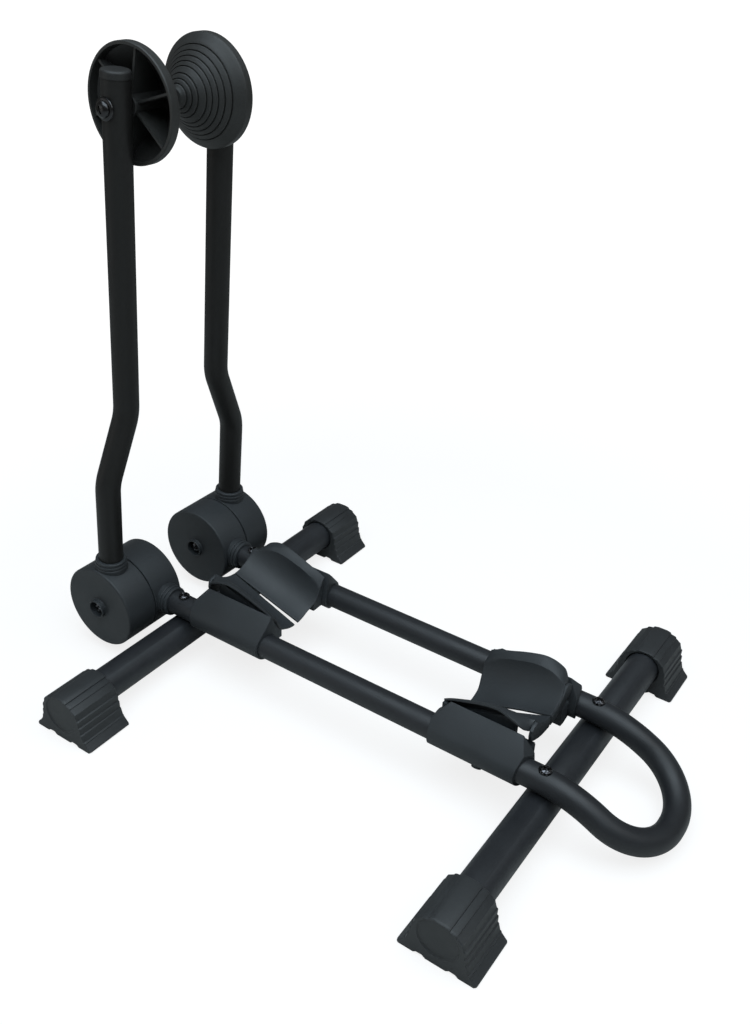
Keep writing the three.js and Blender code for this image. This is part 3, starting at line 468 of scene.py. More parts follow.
def make_finishes():
    tone = colours()
    make = finish_material
    FINISHES.update(
        coated_tube=make("satin_powder_coat", tone.tube, 0.47, 700.0, 0.14),
        # The tube coat again, darker, warmer and with less shine: painted shade on the upright arms.
        coated_arm=make("satin_coat_with_painted_shade_on_arms", tone.arm, 0.5, 700.0, 0.14, shine=0.34),
        moulded_plastic=make("moulded_plastic", tone.plastic, 0.56, 1100.0, 0.32),
        soft_rubber=make("soft_rubber", tone.rubber, 0.52, 1300.0, 0.36),
        cone_rubber=make("cone_rubber", tone.cone, 0.52, 1300.0, 0.34),
        cap_plastic=make("cap_plastic", tone.cap, 0.55, 1100.0, 0.30),
        black_screw=make("black_screw", tone.screw, 0.26, 900.0, 0.03, spread=0.03, metallic=1.0),
        # Sharp bright patches on these screw heads are painted glints, standing in for reflections of the
        # lamps.
        worn_screw=make("worn_screw", tone.worn_screw, 0.27, 900.0, 0.05, spread=0.04, patch_light=13.0,
                        metallic=1.0, slow_scale=620.0, patch_edge=0.05),
        plain_steel=make("plated_steel", tone.steel, 0.30, 900.0, 0.05, patch_light=0.85, edge_light=1.1,
                         metallic=1.0),
        friction_pad=make("friction_lining", tone.lining, 0.85, 500.0, 0.4))


# ---------------------------------------------------------------- tubes
def build_hoop():
    s = sizes()
    leg_z = LEG_Z / MM
    start = DRUM_X / MM + TUBE_START
    bend_x = FRONT_X / MM - 5.7
    y = s.leg_y
    nose_flat = 4.2
    loop = y - nose_flat / 2
    angle = s.drop_angle
    forward = Vector((math.cos(angle), 0, -math.sin(angle)))
    obj = ring("hoop_tube", s.tube_radius, (start, -y, leg_z), "x", TUBE_SIDES)
    straight = bend_x - start
    push(straight, 0, 0)
    turn_on(angle, (bend_x, -y, leg_z - s.drop_radius), (0, 1, 0), 16)
    here = Vector((bend_x + s.drop_radius * math.sin(angle), -y, leg_z - s.drop_radius * (1 - math.cos(angle))))
    step = forward * 2
    push(*step)
    here += step
    up = Vector((math.sin(angle), 0, math.cos(angle)))
    turn_on(math.pi / 2, here + Vector((0, loop, 0)), up, 28)
    push(0, nose_flat, 0)
    turn_on(math.pi / 2, here + Vector((0, loop + nose_flat, 0)), up, 28)
    push(*(-step))
    turn_on(-angle, (bend_x, -y, leg_z - s.drop_radius), (0, 1, 0), 16)
    push(-straight, 0, 0)
    finish_shell()
    thicken(obj, s.tube_wall)
    for x in (REAR_X / MM, FRONT_X / MM):
        for _, sign in SIDES:
            cut(obj, rod("drill", FRAME_DRILL, "z", leg_z - 14, leg_z + 14, (x, sign * y, 0), 20))
    for _, sign in SIDES:
        cut(obj, rod("dimple", 5.6, "z", leg_z + 9.7, leg_z + 14, (FRONT_X / MM, sign * y, 0), 32))
    dress(obj, "frame", "coated_tube", "hoop_frame")


def build_cross_tube(end, x):
    s = sizes()
    reach = s.foot_spread / 2 - 4.3
    obj = ring(f"{end}_cross_bar", s.cross_radius, (x, -reach, CROSS_Z / MM), "y", 64)
    push(0, 2 * reach, 0)
    finish_shell()
    thicken(obj, s.cross_wall)
    for _, sign in SIDES:
        at = (0, sign * s.leg_y, LEG_Z / MM)
        cut(obj, rod("saddle", s.tube_radius + CROSS_FIT, "x", x - 30, x + 30, at, TUBE_SIDES),
            rod("drill", FRAME_DRILL, "z", CROSS_Z / MM, LEG_Z / MM, (x, sign * s.leg_y, 0), 20))
    dress(obj, "frame", "coated_tube", f"{end}_cross_tube")


def build_arm():
    """The right arm, upright at the drum's axis; it is leaned when it is placed."""
    s = sizes()
    low, high = s.arm_low_y, s.arm_high_y
    low_corner, high_corner, radius, cap_room = 128.0, 189.0, 45.0, 6.3
    side_step, rise = low - high, high_corner - low_corner
    angle = math.atan2(side_step, rise)
    tangent = radius * math.tan(angle / 2)
    obj = ring("right_arm_tube", s.tube_radius, (0, low, TUBE_START), "z", TUBE_SIDES)
    push(0, 0, low_corner - tangent - TUBE_START)
    turn_on(angle, (0, low - radius, low_corner - tangent), (1, 0, 0), 12)
    slant = math.hypot(side_step, rise) - 2 * tangent
    push(0, -slant * math.sin(angle), slant * math.cos(angle))
    turn_on(-angle, (0, high + radius, high_corner + tangent), (1, 0, 0), 12)
    push(0, 0, s.arm_length - cap_room - high_corner - tangent)
    finish_shell()
    thicken(obj, s.tube_wall)
    cone_z = s.arm_length - s.cone_below_top
    return cut(obj, rod("drill", 3.3, "y", high - 13, high + 13, (0, 0, cone_z), 24))


def onto_drum(obj):
    """Leans an upright piece and carries it from the origin to the drum's axis."""
    rotate(obj, LEAN, "Y")
    return shift(obj, DRUM_X / MM, 0, LEG_Z / MM)


class RACK_OT_tubes(bpy.types.Operator):
    """Builds the hoop, the cross tubes and the arms"""
    bl_idname = "rack.tubes"
    bl_label = "Tubes"

    def execute(self, context):
        build_hoop()
        build_cross_tube("rear", REAR_X / MM)
        build_cross_tube("front", FRONT_X / MM)
        right = onto_drum(build_arm())
        left = twin(right, "left_arm_tube", y=-1)
        for side, obj in (("left", left), ("right", right)):
            # The arms take the copy of the tube coat with painted shade.
            dress(obj, f"{side}_upright", "coated_tube", f"{side}_arm", finish="coated_arm")
        return {"FINISHED"}


# ---------------------------------------------------------------- feet
def foot_outline():
    """Bell section with lapped ridges, as (x, z) from the right base corner over the top and underneath."""
    rings = [(26.9, 8.6), (24.2, 15.4), (22.9, 22.4), (21.8, 29.2), (19.0, 35.6), (13.8, 40.2), (8.3, 42.8)]
    half = [(31.6, 0.0), (32.5, 0.9), (32.3, 2.2), (29.9, 4.6)]
    for x, z in rings:
        half += [(x + 0.35, z - 1.2), (x + 0.25, z - 0.25), (x - 0.9, z + 0.55)]
    half.append((4.0, 44.0))
    other = [(-x, z) for x, z in reversed(half)]
    under = [(-19.0, 0), (-16.5, 1.9), (-11.5, 2.2), (-8.5, 0), (8.5, 0), (11.5, 2.2), (16.5, 1.9), (19.0, 0)]
    return half + other + under


def build_foot():
    """The right foot at x = 0, with a shallow disc in its rounded outer end and a mouth at its inner end."""
    s = sizes()
    outer = s.foot_spread / 2
    inner = outer - s.foot_length
    z = CROSS_Z / MM
    obj = chain("foot", [(x, inner, height) for x, height in foot_outline()])
    bpy.ops.mesh.edge_face_add()
    centre = (0, 0, 0)
    bpy.ops.transform.resize(value=(0.975, 1, 0.985), center_override=centre)
    # Steps along the foot in millimetres, and how much the section grows or shrinks with each.
    for step, grow in ((0.4, 1.016), (0.8, 1.009), (42.3, 1.0), (1.2, 0.991), (0.8, 0.976)):
        push(0, step, 0)
        bpy.ops.transform.resize(value=(grow, 1, 1 + (grow - 1) * 0.6), center_override=centre)
    finish_shell()
    bore = rod("bore", s.cross_radius + CROSS_FIT, "y", inner - 3, outer - 4, (0, 0, z), 64)
    mouth = turned_y("mouth", [(0, inner - 3), (17.6, inner - 3), (16.5, inner), (15.8, inner + 0.9),
                               (15.5, inner + 3), (0, inner + 3)], 64)
    shift(mouth, 0, 0, z)
    disc = turned_y("disc", [(0, outer - 0.9), (16.2, outer - 0.9), (17.2, outer - 0.3), (18.4, outer + 1),
                             (0, outer + 1)], 64)
    shift(disc, 0, 0, z)
    return cut(obj, bore, mouth, disc)


class RACK_OT_feet(bpy.types.Operator):
    """Builds the four ridged feet"""
    bl_idname = "rack.feet"
    bl_label = "Feet"

    def execute(self, context):
        shape = build_foot()
        for end, x in (("rear", REAR_X), ("front", FRONT_X)):
            for side, sign in SIDES:
                foot = shift(twin(shape, f"{end}_{side}_foot_pad", y=sign), x / MM, 0, 0)
                dress(foot, "frame", "soft_rubber", f"{end}_{side}_foot", smooth=28)
        bpy.data.objects.remove(shape)
        return {"FINISHED"}


# ---------------------------------------------------------------- hinge drums
DRUM_EDGE = 1.7  # rounding of a drum's face, mm
POCKET_DEPTH = 30.4  # floor of the bolt's pocket from the seam, mm


def arc(centre, radius, start, end, steps):
    """Points of an arc in degrees, for a (radius, y) profile."""
    points = []
    for i in range(steps + 1):
        turn = math.radians(start + (end - start) * i / steps)
        points.append((centre[0] + radius * math.cos(turn), centre[1] + radius * math.sin(turn)))
    return points


def collar(name, along, y):
    """Stepped collar around a tube that leaves the drum along an axis letter."""
    profile = [(0, 11), (14.5, 11), (14.5, 33), (14.9, 33), (14.9, 42.0), (14.5, 42.5), (13.9, 42.7),
               (13.9, 43.0), (14.5, 43.4), (14.5, 45.4), (14.2, 45.8), (13.4, 46.0), (13.4, 46.3), (13.9, 46.7),
               (13.9, 48.6), (13.3, 49.2), (0, 49.3)]
    obj = turned_y(name, profile, 64)
    if along == "x":
        rotate(obj, -math.pi / 2, "Z")
    else:
        rotate(obj, math.pi / 2, "X")
    return shift(obj, 0, y, 0)


def boss_profile(face, out, pocket, rise):
    """From the floor of the bolt's pocket over the raised boss to the face; out points away from the drum."""
    rim = face + rise * out
    return [(7.6, pocket), (7.6, rim - 0.3 * out), (7.9, rim), (8.6, rim), (9.0, rim - 0.5 * out),
            (9.1, face + 0.7 * out), (9.7, face)]


def build_drum_inner():
    """The right drum's inner half, at the drum's axis."""
    s = sizes()
    face, split, r = s.drum_inner_y, s.drum_split_y, s.drum_radius
    hole, core, cell, disc_room = 3.3, 12, 30, 34.3
    pocket, disc_floor = split - POCKET_DEPTH, split - 3.3
    profile = [(hole, pocket), *boss_profile(face, -1, pocket, 3.6), (r - 2.4, face)]
    profile += arc((r - DRUM_EDGE, face + DRUM_EDGE), DRUM_EDGE, -90, 0, 5)
    profile += [(r, split - 0.9), (r - 0.5, split - 0.4), (disc_room, split - 0.4), (disc_room, disc_floor),
                (cell, disc_floor), (cell, face + 6.5), (core, face + 6.5), (core, disc_floor),
                (hole, disc_floor), (hole, pocket)]
    obj = turned_y("right_drum_inner", profile, DRUM_SIDES)
    combine(obj, collar("socket", "x", s.leg_y), "UNION")
    bore = rod("bore", s.tube_radius + BORE_FIT, "x", TUBE_START - 0.3, 60, (0, s.leg_y, 0), TUBE_SIDES)
    recess = rod("recess", disc_room, "y", disc_floor, split + 12, sides=DRUM_SIDES)
    return cut(obj, bore, recess)


def build_drum_outer():
    """The right drum's outer half, upright at the drum's axis."""
    s = sizes()
    start = s.drum_split_y + 0.3
    face, r = s.drum_outer_y, s.drum_radius
    hole, core, cell, seam = 3.1, 12, 30, 33.5
    pocket = start + POCKET_DEPTH
    profile = [(hole, start), (core, start), (core, face - 6), (cell, face - 6), (cell, start), (seam, start),
               (seam, start + 0.4), (r - 0.5, start + 0.4), (r, start + 0.9)]
    profile += arc((r - DRUM_EDGE, face - DRUM_EDGE), DRUM_EDGE, 0, 90, 5)
    profile += [(r - 2.4, face), *reversed(boss_profile(face, 1, pocket, 4.5)), (hole, pocket), (hole, start)]
    obj = turned_y("right_drum_outer", profile, DRUM_SIDES)
    combine(obj, collar("socket", "z", s.arm_low_y), "UNION")
    bore = rod("bore", s.tube_radius + BORE_FIT, "z", TUBE_START - 0.3, 60, (0, s.arm_low_y, 0), TUBE_SIDES)
    return cut(obj, bore)


class RACK_OT_drums(bpy.types.Operator):
    """Builds the hinge drums"""
    bl_idname = "rack.drums"
    bl_label = "Hinge drums"

    def execute(self, context):
        inner = shift(build_drum_inner(), DRUM_X / MM, 0, LEG_Z / MM)
        outer = onto_drum(build_drum_outer())
        for side, sign in SIDES:
            near = inner if sign > 0 else twin(inner, "left_drum_inner", y=-1)
            far = outer if sign > 0 else twin(outer, "left_drum_outer", y=-1)
            dress(near, "frame", "moulded_plastic", f"{side}_drum_inner_half", smooth=25)
            dress(far, f"{side}_upright", "moulded_plastic", f"{side}_drum_outer_half", smooth=25)
        return {"FINISHED"}


# ---------------------------------------------------------------- arm caps and cones
def build_cap():
    """Moulded plug of the right arm, upright at the drum's axis."""
    s = sizes()
    top = s.arm_length
    profile = [(0, -12), (8.2, -12), (9.2, -11), (9.2, 0), (11.4, 0), (11.4, 3.8)]
    profile += arc((9.4, 3.8), 2.0, 0, 80, 5)
    profile += [(9.2, 5.9), (7.6, 6.0), (0, 6.0)]
    obj = turned_y("right_cap", profile, 56)
    rotate(obj, math.pi / 2, "X")
    return shift(obj, 0, s.arm_high_y, top - 6)


# Steps of a cone's face: radius lost from the rim, then the step's low and high distance in front of the back.
CONE_STEPS = ((8.4, 15.4, 16.9), (12.5, 19.4, 20.8), (16.1, 22.9, 24.2), (19.6, 26.1, 27.2), (22.9, 28.9, 30.2),
              (27.6, 33.2, 34.7), (31.2, 36.2, 37.4), (34.5, 38.7, 39.9))


def cone_profile():
    """(radius lost from the rim, distance in front of the back) along the outer face, grooved at each step."""
    points = [(0.0, 1.6), (0.0, 7.6), (0.5, 8.8), (1.6, 9.9), (3.3, 11.2), (5.8, 13.4)]
    for lost, low, high in CONE_STEPS:
        points += [(lost - 0.9, low - 0.5), (lost - 0.45, low - 0.3), (lost + 0.25, low - 1.35),
                   (lost + 0.6, low - 1.2), (lost + 0.3, high - 0.7), (lost + 0.55, high - 0.15),
                   (lost + 1.1, high + 0.15)]
    return points + [(36.6, 40.7), (37.2, 41.2), (37.9, 41.8)]


def build_cone():
    """The right cone, on the drum's axis; its nose points to the middle of the rack."""
    s = sizes()
    rim = s.cone_radius
    back = s.arm_high_y - 11.3
    outer = [(rim - lost, back - ahead) for lost, ahead in cone_profile()]
    outer.insert(0, (rim - 0.6, back - 0.8))
    inner = [(2.6, 0.8), (3.4, 8), (10.8, 13.5), (15.4, 17.4), (20.8, 22.2), (25.6, 26), (31, 30.6)]
    shell = [(0, back - 42.0), *reversed(outer), *[(rim - lost, back - ahead) for lost, ahead in inner],
             (0, back - 32.4)]
    obj = turned_y("right_cone_shell", shell, 128)
    boss = turned_y("boss", [(0, back - 32.6), (8, back - 32.6), (8, back - 0.5), (7.5, back), (0, back)], 48)
    cut(boss, rod("bore", 3.1, "y", back - 17.5, back + 2, sides=24),
        rod("nut_room", 6.6, "y", back - 24, back - 17.4, sides=24))
    within = [(7.7, -31.9), (13, -30.7), (28.8, -17.9), (33.3, -13.9), (40.8, -8.2), (41.4, -3.4), (40.6, -2.5),
              (7.7, -2.5)]
    ribs = []
    for i in range(6):
        rib = plate("rib", [(radius, back + y) for radius, y in within], "z", -0.9, 0.9)
        ribs.append(rotate(rib, math.tau * i / 6 - math.radians(22), "Y"))
    join(obj, boss, *ribs)
    return shift(obj, 0, 0, s.arm_length - s.cone_below_top)


class RACK_OT_cones(bpy.types.Operator):
    """Builds the arm caps and the stepped cones"""
    bl_idname = "rack.cones"
    bl_label = "Caps and cones"

    def execute(self, context):
        cap = onto_drum(build_cap())
        cone = onto_drum(build_cone())
        for side, sign in SIDES:
            top = cap if sign > 0 else twin(cap, "left_cap", y=-1)
            wheel = cone if sign > 0 else twin(cone, "left_cone_shell", y=-1)
            dress(top, f"{side}_upright", "moulded_plastic", f"{side}_arm_cap", finish="cap_plastic")
            dress(wheel, f"{side}_cone_wheel", "soft_rubber", f"{side}_cone", finish="cone_rubber", smooth=22)
        return {"FINISHED"}


# ---------------------------------------------------------------- tyre trays
TROUGH_RISE = 6.0  # trough bottom above the leg axis at the tray's centre
WING_HALF = 38.6
# Along the wing: place, crease from the middle, and the upper edge's place, distance from the middle, height.
WING_LINES = ((-38.6, 30.8, -39.4, 39.3, 24.5), (-34.0, 32.0, -34.4, 39.3, 27.4),
              (-20.0, 32.5, -20.0, 39.5, 32.6), (-10.0, 32.5, -10.0, 39.9, 36.2), (0.0, 32.4, 0.0, 40.3, 39.2),
              (9.0, 32.1, 9.0, 41.0, 40.9), (15.0, 31.6, 15.0, 41.7, 40.4), (21.0, 30.9, 21.0, 42.3, 38.7),
              (28.6, 29.2, 28.3, 42.1, 35.2), (32.0, 28.2, 31.4, 40.4, 31.9), (35.0, 27.4, 33.9, 37.4, 28.2),
              (37.4, 27.0, 35.6, 33.4, 26.4))


def slope_line(x, raised):
    """Height above the leg axis of a line parallel to the trough's bottom."""
    slope = sizes().trough_slope
    return TROUGH_RISE + x * math.tan(slope) + raised / math.cos(slope)


def follow(rows, x, column):
    """A smooth curve through one column of rows, which are in order of their first number."""
    i = next((k for k, row in enumerate(rows) if k and row[0] >= x), len(rows) - 1)
    before, low, high, after = rows[max(0, i - 2)], rows[i - 1], rows[i], rows[min(len(rows) - 1, i + 1)]
    span = high[0] - low[0]
    t = (x - low[0]) / span
    start = (high[column] - before[column]) / (high[0] - before[0]) * span
    finish = (after[column] - low[column]) / (after[0] - low[0]) * span
    return (low[column] * (2 * t - 3) * t * t + low[column] + start * t * (1 - t) ** 2
            + high[column] * (3 - 2 * t) * t * t - finish * t * t * (1 - t))


def ease(value, low, high):
    """0 below low, 1 above high and a smooth change between them."""
    t = min(1.0, max(0.0, (value - low) / (high - low)))
    return t * t * (3 - 2 * t)


def build_wing(slit_wide, slit_knee):
    """Trough half as a formed sheet: an arc on the slope up to a crease, then a flared band to the upper edge.
    The slit to the other half is wide up to the knee and closes towards the high end."""
    s = sizes()
    radius = s.trough_radius
    around, band = 20, 6
    low_end, high_end = WING_LINES[0][0], WING_LINES[-1][0]
    count = 46
    stations = [low_end + (high_end - low_end) * k / count for k in range(count + 1)]
    obj = chain("wing", [(stations[0], i, 0) for i in range(around + band + 1)])
    for before, after in zip(stations, stations[1:]):
        push(after - before, 0, 0)
    leave_edit()
    for vertex in obj.data.vertices:
        x = vertex.co.x / MM
        i = round(vertex.co.y / MM)
        slit = slit_wide - (slit_wide - 0.5) * (max(0.0, x - slit_knee) / (high_end - slit_knee))
        first, last = math.asin(slit / radius), math.asin(follow(WING_LINES, x, 1) / radius)
        turn = first + (last - first) * min(i, around) / around
        y, up = radius * math.sin(turn), radius * (1 - math.cos(turn))
        x += (ease(-x, 20, -low_end) * (1.8 - 3.4 * ease(y, 14, 30))
              - ease(x, 22, high_end) * 2.0 * ease(y, 18, 28))
        place = Vector((x, y, slope_line(x, up)))
        if i > around:
            share = (i - around) / band
            edge = Vector([follow(WING_LINES, vertex.co.x / MM, column) for column in (2, 3, 4)])
            place = place.lerp(edge, share) + Vector((0, 0, 0.7 * math.sin(math.pi * share)))
        vertex.co = place * MM
    edit(obj)
    bpy.ops.mesh.normals_make_consistent(inside=False)
    leave_edit()
    if obj.data.polygons[0].normal.z < 0:
        edit()
        bpy.ops.mesh.flip_normals()
        leave_edit()
    thicken(obj, 1.8, use_even_offset=True)
    return soften(obj, 0.45, 42, 2)


def build_sleeve(low_cut, high_cut):
    """Sleeve around the leg with a roofed upper side; its ends slant and its roof corners are cut back."""
    s = sizes()
    half = s.tray_length / 2
    radius = s.tube_radius + 2.5
    inward, rise = 7.8, 28.6  # the roof's ridge from the leg's axis
    roof_y, outer_y = s.leg_y - inward, s.leg_y + radius + 2
    apex = Vector((roof_y, rise))
    distance = math.hypot(inward, rise)
    lean = math.atan2(rise, inward)
    spread = math.acos(radius / distance)
    turns = [lean + spread + (math.tau - 2 * spread) * i / 32 for i in range(33)]
    points = [(s.leg_y - radius * math.cos(turn), radius * math.sin(turn)) for turn in turns]
    points += [(apex.x + 0.5, apex.y - 1.5), (apex.x + 0.85, apex.y - 0.95), (apex.x + 1.4, apex.y - 0.85)]
    obj = plate("sleeve", points, "x", -half, half)
    for sign, inset, cut_back in ((-1, 4.0, low_cut), (1, 6.0, high_cut)):
        slant = Vector((sign * (outer_y - roof_y), inset, 0)).normalized()
        slice_off(obj, (sign * half, roof_y, 0), slant)
        corner = Vector((sign * 17.0, 0, cut_back + 1)).normalized()
        slice_off(obj, (sign * (half + 1), 0, 10), corner)
    soften(obj, 0.7, 24, 3)
    bore = rod("bore", s.tube_radius + BORE_FIT, "x", -half - 4, half + 4, (0, s.leg_y, 0), TUBE_SIDES)
    return cut(obj, bore)


def build_web():
    """Ribs that tie the trough to the sleeve; their rounded high end leaves a gap to the sleeve."""
    s = sizes()
    end = WING_HALF
    inner, face, in_sleeve = 24.0, 36.0, s.leg_y - 8
    side = [(-end, -6), (21, -6), (21, 16), (22.6, 20), (24.6, 24), (24.8, 27), (23, 30.5),
            (19, slope_line(19, 20)), (-end, slope_line(-end, 20))]
    web = plate("web", side, "y", inner, face)
    bridge = plate("bridge", [(-end, -6), (21, -6), (21, 15.6), (-end, 15.6)], "y", face - 2, in_sleeve)
    low_bridge = plate("low_bridge", [(-end, -6), (end - 1.5, -6), (end - 1.5, 8), (-end, 8)], "y", inner,
                       in_sleeve)
    foot = plate("foot", [(24.2, -9.4), (25.6, -11), (31, -11.4), (in_sleeve, -9), (in_sleeve, 7), (24.2, 7)],
                 "x", 22, end - 1)
    end_wall = plate("end_wall", [(34, -6), (43, -6), (43, 23.6), (39.3, 22.8), (34, 17.2)], "x",
                     -end, -end + 3.5)
    for part in (bridge, low_bridge, foot, end_wall):
        combine(web, part, "UNION")
    trough = rod("trough", s.trough_radius + 0.6, "x", -90, 90, (0, 0, s.trough_radius), 72)
    rotate(trough, -s.trough_slope, "Y")
    shift(trough, 0, 0, TROUGH_RISE)
    return cut(web, trough, rod("bore", s.tube_radius + BORE_FIT, "x", -60, 60, (0, s.leg_y, 0), TUBE_SIDES))


def build_skirt():
    """End wall under the trough's high end; its lower edge rises towards the sleeve."""
    radius = sizes().trough_radius
    middle_x, half_thick = WING_HALF - 1.8, 1.4
    top = [(y, slope_line(middle_x, radius - math.sqrt((radius + 1.0) ** 2 - y * y)))
           for y in (27, 24, 20, 15, 10, 5, 0.9)]
    points = [(0.9, 8.2), (10, 8.9), (16, 9.8), (22, 11.6), (28, 14.0), (33, 16.4), (35.6, 19.0), (36.5, 23.0),
              (35.6, 28.0), (33, 30.2), *top]
    skirt = plate("skirt", points, "x", middle_x - half_thick, middle_x + half_thick)
    return soften(skirt, 0.5, 40, 2)


def onto_roof(obj):
    """Tilts an upright piece over the leg's axis and carries it to the right front tray's clamp screw."""
    rotate(obj, math.radians(24), "X")
    return shift(obj, 22, sizes().leg_y, 0)


def build_tray(low_cut, high_cut, slit_wide, slit_knee):
    """The right half of the front tray, about the tray's centre and the leg axis."""
    sleeve = build_sleeve(low_cut, high_cut)
    web = build_web()
    for radius, start, end in ((4.2, 19.2, 25.5), (2.1, 9, 20.5)):
        for part in (sleeve, web):
            cut(part, onto_roof(rod("tool", radius, "z", start, end, sides=32)))
    return join(sleeve, web, build_wing(slit_wide, slit_knee), build_skirt())


def build_stud():
    """Small stud under the right front sleeve, towards its outer side."""
    stud = soften(rod("stud", 4.4, "z", -14.8, -12.2, sides=24), 0.6, 40, 2)
    rotate(stud, math.radians(30), "X")
    return shift(stud, 4, sizes().leg_y, 0)


class RACK_OT_trays(bpy.types.Operator):
    """Builds the four halves of the sliding tyre trays"""
    bl_idname = "rack.trays"
    bl_label = "Tyre trays"

    def execute(self, context):
        # Where the high end points, then the arguments of build_tray.
        places = (("front", 1, (12.0, 9.0, 2.5, 10.0)), ("rear", -1, (1.5, 12.0, 2.5, -WING_HALF)))
        for end, along, form in places:
            x = middle(f"{end}_left_tray_half").x
            shape = build_tray(*form)
            stud = build_stud()
            for side, sign in SIDES:
                half = twin(shape, f"{end}_{side}_tray", x=along, y=sign)
                if sign == -along:
                    join(half, twin(stud, "stud", x=along, y=sign))
                shift(half, x / MM, 0, LEG_Z / MM)
                dress(half, f"{end}_{side}_tray", "moulded_plastic", f"{end}_{side}_tray_half", smooth=32)
            bpy.data.objects.remove(shape)
            bpy.data.objects.remove(stud)
        return {"FINISHED"}


# ---------------------------------------------------------------- screws
def build_screw(name, radius, head_radius, head_height, length, slot):
    """Domed head below y = 0 with a tapered cross recess; the shank runs to length."""
    top = -head_height
    profile = [(0, top)]
    for i in range(1, 9):
        turn = math.radians(90 * i / 9)
        profile.append((head_radius * math.sin(turn), -head_height * (0.18 + 0.82 * math.cos(turn))))
    profile += [(head_radius, -head_height * 0.18), (head_radius, -0.15), (head_radius - 0.15, 0), (radius, 0),
                (radius, length - 0.6), (radius - 0.6, length), (0, length)]
    obj = turned_y(name, profile, 40)
    width, depth = head_radius * slot, 2.0
    for turn in (math.radians(20), math.radians(110)):
        wedge = plate("wedge", [(-width, top - 1), (width, top - 1), (width * 0.95, top + 0.4),
                                (width * 0.45, top + depth), (-width * 0.45, top + depth),
                                (-width * 0.95, top + 0.4)], "z", -0.75, 0.75)
        rotate(wedge, turn, "Y")
        cut(obj, wedge)
    return obj


class RACK_OT_screws(bpy.types.Operator):
    """Builds the frame screws, hinge bolts, cone bolts, washers and tray screws"""
    bl_idname = "rack.screws"
    bl_label = "Screws"

    def execute(self, context):
        s = sizes()
        frame_screw = build_screw("frame_screw_shape", 2.5, 5.2, 3.0, 28.5, 0.62)
        rotate(frame_screw, -math.pi / 2, "X")
        top = LEG_Z / MM + s.tube_radius + 0.3
        for end, x in (("rear", REAR_X), ("front", FRONT_X)):
            for side, sign in SIDES:
                sunk = 1.1 if end == "front" else 0.0
                screw = shift(twin(frame_screw, f"{end}_{side}_frame_bolt"), x / MM, sign * s.leg_y, top - sunk)
                # The head's finish carries painted glints.
                dress(screw, "frame", "black_screw", f"{end}_{side}_frame_screw", finish="worn_screw")
        bpy.data.objects.remove(frame_screw)
        head = 3.2
        for side, _ in SIDES:
            low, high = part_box(f"{side}_hinge_bolt")
            bolt = build_screw(f"{side}_hinge_pin", 3.0, 5.8, 4.4, (high.y - low.y) / MM - head, 0.6)
            shift(bolt, DRUM_X / MM, low.y / MM + head, LEG_Z / MM)
            # The head's finish carries painted glints.
            dress(bolt, "frame", "black_screw", f"{side}_hinge_bolt", finish="worn_screw")
        cone_z = s.arm_length - s.cone_below_top
        seat = s.arm_high_y + s.tube_radius
        for side, sign in SIDES:
            washer = turned_y(f"{side}_disc_washer", [(3.3, 0.3), (8.4, 0.3), (8.5, 0.5), (8.3, 1.2),
                                                      (7.6, 1.7), (3.3, 1.8), (3.3, 0.3)], 48)
            shift(washer, 0, seat, cone_z)
            low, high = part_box(f"{side}_cone_bolt")
            bolt = build_screw(f"{side}_cone_pin", 3.0, 6.2, 3.8, (high.y - low.y) / MM - 3.8, 0.5)
            bolt = shift(rotate(bolt, math.pi, "X"), 0, seat + 2.1, cone_z)
            for piece, node in ((washer, "cone_washer"), (bolt, "cone_bolt")):
                onto_drum(piece)
                if sign < 0:
                    mirror(piece, 1, -1)
                dress(piece, f"{side}_upright", "black_screw", f"{side}_{node}")
        screw = build_screw("tray_screw_shape", 1.8, 3.4, 2.4, 8.2, 0.6)
        rotate(screw, -math.pi / 2, "X")
        onto_roof(shift(screw, 0, 0, 19.5))
        for end, along in (("front", 1), ("rear", -1)):
            x = middle(f"{end}_left_tray_half").x
            for side, sign in SIDES:
                copy = shift(twin(screw, f"{end}_{side}_clamp", x=along, y=sign), x / MM, 0, LEG_Z / MM)
                dress(copy, f"{end}_{side}_tray", "black_screw", f"{end}_{side}_tray_screw")
        bpy.data.objects.remove(screw)
        return {"FINISHED"}


# ---------------------------------------------------------------- kept nodes, stage and camera
class RACK_OT_kept_nodes(bpy.types.Operator):
    """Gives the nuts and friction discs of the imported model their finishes"""
    bl_idname = "rack.kept_nodes"
    bl_label = "Nuts and discs"

    def execute(self, context):
        for side, _ in SIDES:
            for name, slot in (("friction_disc", "friction_pad"), ("hinge_nut", "plain_steel"),
                               ("cone_nut", "plain_steel")):
                coat(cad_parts[f"{side}_{name}"], slot)
        return {"FINISHED"}


def area_light(name, size, power, place, target, shade=(1, 1, 1)):
    bpy.ops.object.light_add(type="AREA", location=place)
    light = bpy.context.object
    light.name = name
    light.data.shape = "RECTANGLE"
    light.data.size, light.data.size_y = size
    light.data.energy = power
    light.data.color = shade
    light.rotation_euler = (Vector(target) - Vector(place)).to_track_quat("-Z", "Y").to_euler()


def white_world():
    """White to the camera, soft grey to everything else."""
    world = bpy.context.scene.world or bpy.data.worlds.new("studio")
    bpy.context.scene.world = world
    world.use_nodes = True
    tree = world.node_tree
    tree.nodes.clear()
    seen = node_in(tree, "ShaderNodeBackground", {"Color": (1, 1, 1, 1)})
    glow = node_in(tree, "ShaderNodeBackground", {"Color": (0.86, 0.86, 0.84, 1), "Strength": 0.14})
    path = node_in(tree, "ShaderNodeLightPath")
    mix = node_in(tree, "ShaderNodeMixShader")
    out = node_in(tree, "ShaderNodeOutputWorld")
    wire(tree, (path, "Is Camera Ray", mix, "Fac"), (glow, "Background", mix, 1), (seen, "Background", mix, 2),
         (mix, "Shader", out, "Surface"))


